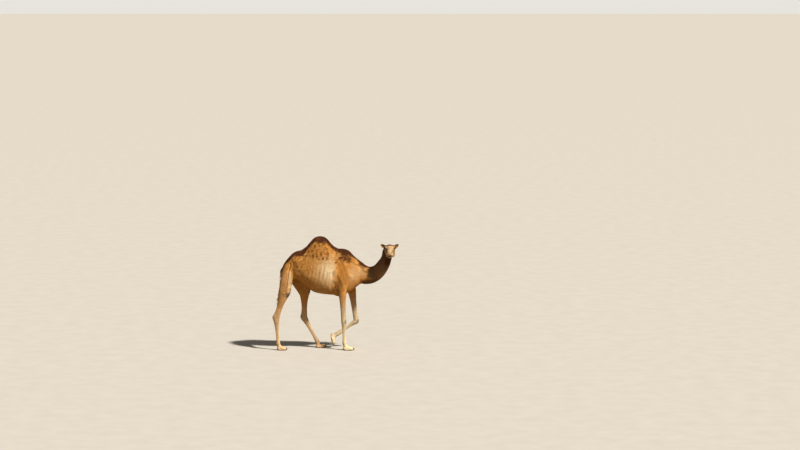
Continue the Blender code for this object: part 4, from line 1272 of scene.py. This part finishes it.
def locks(root, up, lie, *sizes, rings=2, plump=0.5, laid=0.3):
    """Rings of three corners along each lock, and its tip.

    At share t along it a lock's middle is the root, plus length times t along the hair, plus the
    rise (height times t times (2 - t), less the laid share times t squared) less the body's fall
    (half its curvature times the reach squared), plus a spiral of radius curl times t.
    """
    count = len(root)
    curve, length, width, height, curl, phase = (np.broadcast_to(size, count)[:, None] for size in sizes)
    side = unit(np.cross(up, lie))
    t = np.linspace(0, 1, rings + 1)[None, :]
    reach = length * t
    rise = height * (t * (2 - t) - laid * t**2) / (1 - 0.5 * laid) - ROOT_DEPTH
    fall = 0.5 * curve * reach**2
    spin = phase + 2 * math.pi * TURNS * t
    sway = curl * t**0.7 * np.sin(spin)
    heave = curl * 0.45 * t * np.cos(spin)
    middle = (root[:, None] + lie[:, None] * reach[..., None] + up[:, None] * (rise - fall + heave)[..., None]
              + side[:, None] * sway[..., None])
    half = 0.5 * width * np.sqrt(np.clip(1 - t**1.6, 0, 1))
    corner = np.array([[1.0, -0.3 * plump], [0.0, plump], [-1.0, -0.3 * plump]])
    ring = (middle[:, :-1, None] + side[:, None, None] * (half[:, :-1, None] * corner[:, 0])[..., None]
            + up[:, None, None] * (half[:, :-1, None] * corner[:, 1])[..., None])
    made = np.concatenate([ring.reshape(count, rings * 3, 3), middle[:, -1:]], axis=1)
    here = np.arange(rings * 3).reshape(rings, 3)
    point = np.stack([here[-1], np.roll(here[-1], -1), np.full(3, rings * 3)], -1)
    tris = np.vstack([walls(here), point, [[2, 1, 0]]])
    across = np.append(np.tile([0.5, 0.0, -0.5], rings), 0.0)
    along = np.append(np.repeat(t[0, :-1], 3), 1.0)
    return made, tris, across, along


one_lock = locks(np.zeros((1, 3)), np.array([[0, 0, 1.0]]), np.array([[1.0, 0, 0]]),
                 0, 0.03, 0.005, 0.01, 0, 0)
print("a lock of two rings has", len(one_lock[1]), "triangles")

# %% Join the locks of one piece
PATCH = 0.003  # how much of the unwrap one lock covers
LOWEST = 0.0006  # no lock dips below the soles
coats = []


def joined_locks(name, made_locks, whose, masks):
    """One mesh of all the locks, with its masks, and each lock's patch on the unwrap.

    The unwrap has one upright strip for each limb: u goes round the limb and v along it.
    """
    made, tris, across, along = made_locks
    count, each = made.shape[:2]
    made = made.reshape(-1, 3)
    made[:, 2] = np.maximum(made[:, 2], LOWEST)
    joined = (tris[None] + (np.arange(count) * each)[:, None, None]).reshape(-1, 3)
    coat = mesh_object(name, made + TO_ORIGIN, joined)
    limb, place, round_it = whose
    present = np.unique(limb)
    u = (np.searchsorted(present, limb) + 0.04 + 0.92 * (round_it / (2 * math.pi) + 0.5)) / len(present)
    v = 0.01 + 0.98 * place
    uv = np.stack([u[:, None] + PATCH * across, v[:, None] + PATCH * (along - 0.5)], -1).reshape(-1, 2)
    layer = coat.data.uv_layers.new(name="OFBake")
    loops = np.empty(len(coat.data.loops), np.int32)
    coat.data.loops.foreach_get("vertex_index", loops)
    layer.data.foreach_set("uv", uv[loops].astype(np.float32).ravel())
    give(coat, tip=np.tile(along, count), across=np.tile(across, count),
         **{key: np.repeat(np.broadcast_to(values, count), each) for key, values in masks.items()})
    coats.append(coat)
    print(f"{name}: {count} locks, {len(joined)} triangles")


print("each lock covers", PATCH, "of the unwrap")

# %% Grow a piece of coat
def sprout(name, density, count, length, width, curl, height, spread, **shape):
    """Scatters roots over the skin by density times area and makes one joined mesh of their locks."""
    area = np.linalg.norm(facings(verts, faces), axis=1)
    odds = area * np.clip(density[faces].mean(axis=1), 0, None)
    picked = np.searchsorted(np.cumsum(odds) / odds.sum(), (np.arange(count) + chance.random(count)) / count)
    picked = faces[np.clip(picked, 0, len(faces) - 1)]
    mix = chance.random((count, 2))
    over = mix.sum(axis=1) > 1
    mix[over] = 1 - mix[over]
    mix = np.column_stack([1 - mix.sum(axis=1), mix])

    def carried(values):
        """A vertex value, or one number for them all, carried to the roots."""
        values = np.broadcast_to(values, len(verts)) if np.ndim(values) < 2 else values
        return (values[picked] * (mix if values.ndim == 1 else mix[..., None])).sum(axis=1)

    root, up, run = carried(verts), unit(carried(normals)), carried(lie)
    run = unit(run - up * (run * up).sum(axis=1, keepdims=True))
    clump = ripple(root, 60, 11) * 0.8 + ripple(root, 190, 12) * 0.6
    turn = carried(spread) * (clump + 0.5 * chance.normal(size=count))
    run = unit(run * np.cos(turn)[:, None] + np.cross(up, run) * np.sin(turn)[:, None])
    vary = np.exp(chance.normal(0, 0.20, count))
    high = carried(height) * chance.uniform(0.75, 1.05, count)
    phase = chance.uniform(0, 6.28, count)
    made_locks = locks(root, up, run, carried(curve), carried(length) * vary, carried(width) * np.sqrt(vary),
                       high, carried(curl), phase, **shape)
    first = picked[:, 0]
    masks = {"wool": carried(wool), "pale": carried(pale), "bare": carried(bare) * 0.3, "dusk": carried(dusk),
             "tone": chance.normal(0, 1, count) * 0.5 + clump * 0.5}
    joined_locks(name, made_locks, (part[first], share[first], angle[first]), masks)


# %% [markdown]
# ## The coat, piece by piece
# The coat isn't the same all over. On the hump, shoulders and nape it is long and curly, on the
# flanks it is a short felt with small curls in it, and on the legs and face it is a close nap of
# tiny locks. Bare callous has none. Each piece covers one region and overlaps its neighbours a
# little, so no border shows.

# %% Regions
hairy = np.clip(1 - 1.3 * bare - 0.9 * rim, 0, 1) * (1 - on_feet(verts) * (z < 0.012))
fore_upper, hind_upper = fore & (z > 1.02), hind & (z > 1.00)
body = (is_part["trunk"] | is_part["hump"] | fore_upper | hind_upper).astype(float)
upwards = ramp(z + 0.03 * ripple(verts, 30, 6), 1.58, 1.74)
forwards = ramp(x + 0.02 * ripple(verts, 30, 7), -0.02, 0.06)
on_shoulder = body * forwards
on_hump = body * (1 - forwards) * upwards
on_flank = body * (1 - forwards) * (1 - upwards)
print("the flanks are", round(float(on_flank.mean()), 3), "of the skin")

# %% The body's coat
shag = np.clip(np.maximum(0.9 * wool, ramp(z, 1.50, 1.72) * body * 0.40), 0, 1)
length, width, curl = 0.030 + 0.012 * shag, 0.0050 + 0.0022 * shag, 0.0006 + 0.0048 * shag
rise, tangle = 0.0045 + 0.0065 * shag, 0.16 + 0.30 * shag
body_coat = (length, width, curl, rise, tangle)
more_on_wool = 1 + 0.5 * shag
sprout("coat_hump", hairy * on_hump * more_on_wool, 8500, *body_coat, rings=4, plump=0.35, laid=0.4)
sprout("coat_shoulder", hairy * on_shoulder * more_on_wool, 8300, *body_coat, rings=4, plump=0.30, laid=0.5)
for name, where in (("coat_flank_right", y <= 0), ("coat_flank_left", y > 0)):
    sprout(name, hairy * on_flank * where, 19600, *body_coat, plump=0.20, laid=0.6)

# %% The coat of neck and head
nape = neck * ramp(np.sin(angle), 0.80, 0.97)
beard = neck * ramp(-np.sin(angle), 0.55, 0.90)
neck_length = length * (0.95 + 0.20 * nape + 0.35 * beard)
sprout("coat_neck", hairy * neck, 11500, neck_length, width * 0.9, curl * 0.8, 0.007 + 0.003 * shag, 0.30,
       rings=3, plump=0.30, laid=0.7)
head_x = np.clip(skull_x, 0, HEAD_LENGTH)
face_length = np.interp(head_x, [0.0, 0.08, 0.20, 0.35, 0.485], [0.030, 0.023, 0.017, 0.013, 0.009])
face_length[is_ear] = 0.010
head_hair = hairy * head * (1 - 0.7 * ramp(dusk, 0.6, 0.95))
before_ears = ramp(head_x, 0.12, 0.16)
more_on_muzzle = 1 + 0.8 * ramp(head_x, 0.30, 0.42)
sprout("coat_face", head_hair * before_ears * more_on_muzzle, 13400, face_length, 0.0010 + face_length * 0.13,
       0.0, 0.0018 + face_length * 0.045, 0.16, plump=0.14, laid=0.5)
sprout("coat_head", head_hair * (1 - before_ears), 7300, face_length, 0.0012 + face_length * 0.12,
       0.05 * face_length, 0.0018 + face_length * 0.09, 0.22, plump=0.20, laid=0.5)

# %% The coat of legs and tail
leg_length = 0.015 + 0.010 * ramp(z, 0.3, 1.0)
leg_width = 0.0024 + 0.0018 * ramp(z, 0.3, 1.0)
leg_height = 0.0016 + 0.0030 * ramp(z, 0.2, 0.9)
for name, where in (("coat_forelegs", fore & (z <= 1.02)), ("coat_hindlegs", hind & (z <= 1.00))):
    sprout(name, hairy * where * (1.6 - ramp(z, 0.1, 1.0)), 15300, leg_length, leg_width, 0.0004,
           leg_height, 0.15, plump=0.22, laid=0.6)
tail_length = 0.022 + 0.050 * ramp(share, 0.45, 0.75)
sprout("coat_tail", tail * (1 + 3 * ramp(share, 0.5, 0.7)), 1600, tail_length, 0.0050, 0.0030, 0.006, 0.3,
       rings=4)

# %% [markdown]
# ## Eyelashes
# A camel's lashes are long and stand in two rows on the upper lid, against blown sand. A lash is
# the same lock again, very thin, that leaves the lid's edge outwards and droops a little.

# %% Eyelashes
# how many, between which angles round the eye, how long and how far they stand out
LASHES = ((46, 15, 165, 0.026, 1.1), (40, 20, 160, 0.021, 0.7), (24, 200, 340, 0.009, 1.2))


def lashes(side, count, lowest, highest, length, jut):
    """Roots along the lid's edge between two angles, and directions out and a little up."""
    spin = np.radians(np.linspace(lowest, highest, count)) + chance.normal(0, 0.02, count)
    _, gaze, ahead, up = looking(side)
    outwards = ahead * np.cos(spin)[:, None] + up * np.sin(spin)[:, None]
    root = round_eye(side, opening(spin, 0), np.full(count, EYE_RADIUS + 0.0035), spin)
    run = unit(gaze * jut + outwards + 0.12 * chance.normal(size=(count, 3)))
    turn = to_head[:3, :3]
    reach = length * chance.uniform(0.75, 1.1, count) * (0.7 + 0.3 * np.abs(np.sin(spin)))
    return carried_by(to_head, root), outwards @ turn.T, run @ turn.T, reach


rows = [lashes(side, *row) for side in (LEFT, RIGHT) for row in LASHES]
root, up, run, reach = (np.concatenate(column) for column in zip(*rows))
up = unit(up - run * (up * run).sum(axis=1, keepdims=True))
made_lashes = locks(root, up, run, 14, reach, 0.0011, 0.0030, 0, 0, rings=4, plump=0.8, laid=0.0)
_, _, limb, place, round_it = ask(root)
joined_locks("eyelashes", made_lashes, (limb, place, round_it),
             {"wool": 0, "pale": 0, "bare": 0, "dusk": 1, "tone": 0})
print(len(coats), "pieces of coat,", sum(len(coat.data.polygons) for coat in coats), "triangles")

# %% [markdown]
# ## Colour of skin and coat
# One node group mixes the coat's colours from the masks: tan first, then cream, dark wool, grey
# callous and the near black of lips and lids. Two sizes of noise break the colour into the
# patches and flecks that real wool has. The skin and the locks both use the group, so a lock
# always has the colour of the skin that it grows from.

# %% Materials, sockets and masks
def material(name):
    """A new material with its nodes and its Principled shader."""
    made = bpy.data.materials.new(name)
    made.use_nodes = True
    return made, made.node_tree, made.node_tree.nodes["Principled BSDF"]


def plug(tree, value, socket):
    """Links a socket to another, or sets it to a number or a colour."""
    if isinstance(value, (int, float)):
        socket.default_value = value
    elif isinstance(value, tuple):
        socket.default_value = (*value, 1)
    else:
        tree.links.new(value, socket)


def mask(tree, name):
    """The socket that reads one of the masks stored on the mesh."""
    node = tree.nodes.new("ShaderNodeAttribute")
    node.attribute_name = name
    return node.outputs["Fac"]


def noise(tree, scale, detail=3.0, place=None):
    """Noise over the object's own coordinates, or over another vector."""
    node = tree.nodes.new("ShaderNodeTexNoise")
    plug(tree, place or tree.nodes.new("ShaderNodeTexCoord").outputs["Object"], node.inputs["Vector"])
    for socket, number in (("Scale", scale), ("Detail", detail), ("Roughness", 0.55)):
        node.inputs[socket].default_value = number
    return node.outputs["Fac"]


print("materials will read masks by name")

# %% Node helpers
def spread_out(tree, value, low, high, to_low=0.0, to_high=1.0):
    """Map Range: low..high becomes to_low..to_high."""
    node = tree.nodes.new("ShaderNodeMapRange")
    for socket, number in (("From Min", low), ("From Max", high), ("To Min", to_low), ("To Max", to_high)):
        node.inputs[socket].default_value = number
    plug(tree, value, node.inputs["Value"])
    return node.outputs["Result"]


def combine(tree, how, a, b, clamp=True):
    """A Math node of two sockets or numbers."""
    node = tree.nodes.new("ShaderNodeMath")
    node.operation = how
    node.use_clamp = clamp
    for socket, value in zip(node.inputs, (a, b)):
        plug(tree, value, socket)
    return node.outputs["Value"]


def mixed(tree, share, a, b):
    """A colour mix of two sockets or colours."""
    node = tree.nodes.new("ShaderNodeMix")
    node.data_type = "RGBA"
    first, second = (socket for socket in node.inputs if socket.type == "RGBA")
    for socket, value in ((node.inputs[0], share), (first, a), (second, b)):
        plug(tree, value, socket)
    return next(socket for socket in node.outputs if socket.type == "RGBA")


def brightened(tree, colour, value):
    """Hue, Saturation and Value with its value turned up or down by a socket."""
    node = tree.nodes.new("ShaderNodeHueSaturation")
    plug(tree, value, node.inputs["Value"])
    plug(tree, colour, node.inputs["Color"])
    return node.outputs["Color"]


def bumped(tree, shader, height, strength, distance):
    """A Bump node on the shader's normal."""
    bump = tree.nodes.new("ShaderNodeBump")
    for socket, value in (("Height", height), ("Strength", strength), ("Distance", distance)):
        plug(tree, value, bump.inputs[socket])
    plug(tree, bump.outputs["Normal"], shader.inputs["Normal"])


def finish(shader, numbers):
    """Sets plain numbers on the shader's own sockets."""
    for name, number in numbers.items():
        shader.inputs[name].default_value = number


print("helpers for nodes are ready")

# %% The camel's colours
TAN = (0.730, 0.305, 0.052)
SAND = (0.800, 0.440, 0.125)
CREAM = (0.860, 0.690, 0.430)
RUST = (0.250, 0.068, 0.010)
UMBER = (0.054, 0.021, 0.010)
CALLUS = (0.130, 0.095, 0.065)
NEAR_BLACK = (0.026, 0.016, 0.011)
MASKS = ("wool", "pale", "bare", "dusk")

camel_colours = tree = bpy.data.node_groups.new("camel_colours", "ShaderNodeTree")
for name in MASKS:
    tree.interface.new_socket(name, in_out="INPUT", socket_type="NodeSocketFloat")
tree.interface.new_socket("colour", in_out="OUTPUT", socket_type="NodeSocketColor")
given, result = tree.nodes.new("NodeGroupInput").outputs, tree.nodes.new("NodeGroupOutput")
broad_patches = spread_out(tree, noise(tree, 5.0), 0.38, 0.62)
curls = spread_out(tree, noise(tree, 34.0, 4.0), 0.36, 0.64)
flecks = spread_out(tree, noise(tree, 150.0, 2.0), 0.35, 0.65)
ground = mixed(tree, combine(tree, "MULTIPLY", broad_patches, 0.55), TAN, SAND)
ground = mixed(tree, combine(tree, "MULTIPLY", curls, 0.22), ground, RUST)
cream = mixed(tree, combine(tree, "MULTIPLY", curls, 0.25), CREAM, SAND)
dark = mixed(tree, combine(tree, "MULTIPLY", curls, 0.65), UMBER, RUST)
for name, colour in (("pale", cream), ("wool", dark), ("bare", CALLUS), ("dusk", NEAR_BLACK)):
    ground = mixed(tree, given[name], ground, colour)
light = spread_out(tree, flecks, 0.0, 1.0, 0.80, 1.12)
plug(tree, brightened(tree, ground, light), result.inputs["colour"])
print("camel_colours has", len(tree.nodes), "nodes")

# %% Skin and coat materials
SPECULAR = "Specular IOR Level"


def coloured_by_masks(tree):
    """The camel's colour from the masks on the mesh."""
    group = tree.nodes.new("ShaderNodeGroup")
    group.node_tree = camel_colours
    for name in MASKS:
        plug(tree, mask(tree, name), group.inputs[name])
    return group.outputs["colour"]


skin_look, tree, shader = material("short_fur_and_skin")
plug(tree, coloured_by_masks(tree), shader.inputs["Base Color"])
pile = combine(tree, "ADD", combine(tree, "MULTIPLY", noise(tree, 520.0, 2.0), 0.7),
               combine(tree, "MULTIPLY", noise(tree, 130.0), 0.3))
bumped(tree, shader, pile, 0.5, 0.0012)
wet = combine(tree, "MULTIPLY", mask(tree, "dusk"), 0.35)
plug(tree, combine(tree, "SUBTRACT", 0.88, wet), shader.inputs["Roughness"])
finish(shader, {SPECULAR: 0.15})
skin.data.materials.append(skin_look)

coat_look, tree, shader = material("camel_wool")
strand_place = tree.nodes.new("ShaderNodeCombineXYZ")
for socket, name, scale in zip(strand_place.inputs, ("across", "tip", "tone"), (7.0, 0.5, 9.0)):
    plug(tree, combine(tree, "MULTIPLY", mask(tree, name), scale, clamp=False), socket)
strands = noise(tree, 1.3, 2.0, place=strand_place.outputs["Vector"])
# each lock darker at its root: painted shade inside the coat
root_shade = spread_out(tree, mask(tree, "tip"), 0.0, 0.6, 0.86, 1.04)
by_lock = spread_out(tree, mask(tree, "tone"), -1.5, 1.5, 0.84, 1.16)
by_strand = spread_out(tree, strands, 0.3, 0.7, 0.80, 1.15)
light = combine(tree, "MULTIPLY", root_shade, by_lock, clamp=False)
light = combine(tree, "MULTIPLY", light, by_strand, clamp=False)
plug(tree, brightened(tree, coloured_by_masks(tree), light), shader.inputs["Base Color"])
bumped(tree, shader, strands, 0.6, 0.0012)
finish(shader, {"Roughness": 0.80, SPECULAR: 0.15})
for coat in coats:
    coat.data.materials.append(coat_look)
print("skin and coat have their materials")

# %% [markdown]
# ## Wet eyes and horn
# The eye is dark brown with a slot of a pupil and a thin clear coat of tears over it. The nails
# are grey brown horn, rubbed paler in patches by the sand.

# %% Eye and nail materials
DEEP_BROWN, LIGHT_BROWN, EYE_WHITE = (0.040, 0.017, 0.007), (0.100, 0.045, 0.018), (0.160, 0.110, 0.080)
PUPIL = (0.003, 0.003, 0.004)
HORN, WORN_HORN = (0.070, 0.052, 0.038), (0.210, 0.165, 0.115)

eye_look, tree, shader = material("wet_eye")
iris = mixed(tree, spread_out(tree, noise(tree, 900.0, 2.0), 0.35, 0.65), DEEP_BROWN, LIGHT_BROWN)
round_iris = mixed(tree, spread_out(tree, mask(tree, "polar"), 0.80, 0.92), iris, EYE_WHITE)
in_slot = spread_out(tree, mask(tree, "slot"), 1.15, 0.95)
plug(tree, mixed(tree, in_slot, round_iris, PUPIL), shader.inputs["Base Color"])
finish(shader, {"Roughness": 0.20, SPECULAR: 0.2, "Coat Weight": 1.0, "Coat Roughness": 0.03})
eyeballs.data.materials.append(eye_look)

nail_look, tree, shader = material("worn_horn")
worn = spread_out(tree, noise(tree, 60.0, 4.0), 0.40, 0.65)
plug(tree, mixed(tree, worn, HORN, WORN_HORN), shader.inputs["Base Color"])
plug(tree, spread_out(tree, worn, 0.0, 1.0, 0.38, 0.62), shader.inputs["Roughness"])
bumped(tree, shader, noise(tree, 260.0), 0.4, 0.0006)
toenails.data.materials.append(nail_look)
print("eyes and nails have their materials")

# %% Everything rides on the one body
for piece in (skin, eyeballs, toenails, *coats):
    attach(piece, "root")
print(len(coats) + 3, "pieces ride on the body")

# %% [markdown]
# ## Studio
# A wide pale floor that runs to the horizon, one key light high on the right and a little towards
# the camera, a weak fill from the left, and a bright room. The floor and the room look brighter to
# the camera than they shine on the animal, so its shaded side stays as deep as in desert sun. The
# camera looks from far off and slightly downwards at the camel's right side.

# %% Floor
FLOOR_REACH, FLOOR_LINES, FLOOR_LEVEL = 600.0, 33, -0.0005
SHOWN_LOW, SHOWN_HIGH, SHINING = (0.450, 0.420, 0.375), (0.480, 0.450, 0.405), (0.240, 0.215, 0.180)

line = np.sinh(np.linspace(-8, 8, FLOOR_LINES)) / math.sinh(8) * FLOOR_REACH
along_x, along_y = np.meshgrid(line, line, indexing="ij")
sheet = np.stack([along_x, along_y, np.full(along_x.shape, FLOOR_LEVEL)], -1)
here = np.arange(line.size**2).reshape(line.size, line.size)
quads = np.stack([here[:-1, :-1], here[1:, :-1], here[1:, 1:], here[:-1, 1:]], -1).reshape(-1, 4)
floor = mesh_object("studio_floor", sheet.reshape(-1, 3), quads)
floor_look, tree, shader = material("pale_floor")
shown_floor = mixed(tree, spread_out(tree, noise(tree, 3.0), 0.3, 0.7), SHOWN_LOW, SHOWN_HIGH)
to_camera = tree.nodes.new("ShaderNodeLightPath").outputs["Is Camera Ray"]
plug(tree, mixed(tree, to_camera, SHINING, shown_floor), shader.inputs["Base Color"])
finish(shader, {"Roughness": 0.9, SPECULAR: 0.1})
floor.data.materials.append(floor_look)
print("floor", 2 * FLOOR_REACH, "m across")

# %% Lights
ROOM_SHINES, ROOM_SHOWN = 0.17, 0.80


def far_light(name, towards, strength, softness, colour):
    """A lamp so far away that its light is even: `towards` points from the animal to the lamp."""
    lamp = bpy.data.lights.new(name, "SUN")
    lamp.energy, lamp.angle, lamp.color = strength, math.radians(softness), colour
    obj = bpy.data.objects.new(name, lamp)
    obj.rotation_euler = Vector(towards).to_track_quat("Z", "Y").to_euler()
    bpy.context.scene.collection.objects.link(obj)


far_light("key", (0.52, -0.36, 0.77), 6.3, 4, (1.0, 0.95, 0.87))
far_light("fill", (-0.55, -0.80, 0.25), 0.30, 60, (1.0, 0.97, 0.92))
world = bpy.data.worlds.new("room")
bpy.context.scene.world = world
world.use_nodes = True
tree, backdrop = world.node_tree, world.node_tree.nodes["Background"]
to_camera = tree.nodes.new("ShaderNodeLightPath").outputs["Is Camera Ray"]
plug(tree, spread_out(tree, to_camera, 0.0, 1.0, ROOM_SHINES, ROOM_SHOWN), backdrop.inputs["Strength"])
backdrop.inputs["Color"].default_value = (1.0, 0.97, 0.91, 1)
bpy.context.scene.view_settings.view_transform = "Standard"
print("two lamps and a bright room")

# %% Camera
FRAME_WIDTH = 14.27  # metres across the picture at the camel
LENS, SENSOR, LOOK_DOWN = 100.0, 36.0, math.radians(6.0)
AIM_AT = Vector((1.160, 0.160, 2.232))

distance = FRAME_WIDTH * LENS / SENSOR
lens = bpy.data.cameras.new("camera")
lens.lens, lens.sensor_width, lens.clip_end = LENS, SENSOR, 2000
camera = bpy.data.objects.new("camera", lens)
camera.location = AIM_AT + Vector((0, -math.cos(LOOK_DOWN), math.sin(LOOK_DOWN))) * distance
camera.rotation_euler = (math.pi / 2 - LOOK_DOWN, 0, 0)
bpy.context.scene.collection.objects.link(camera)
bpy.context.scene.camera = camera
print("camera", round(distance, 2), "m away")
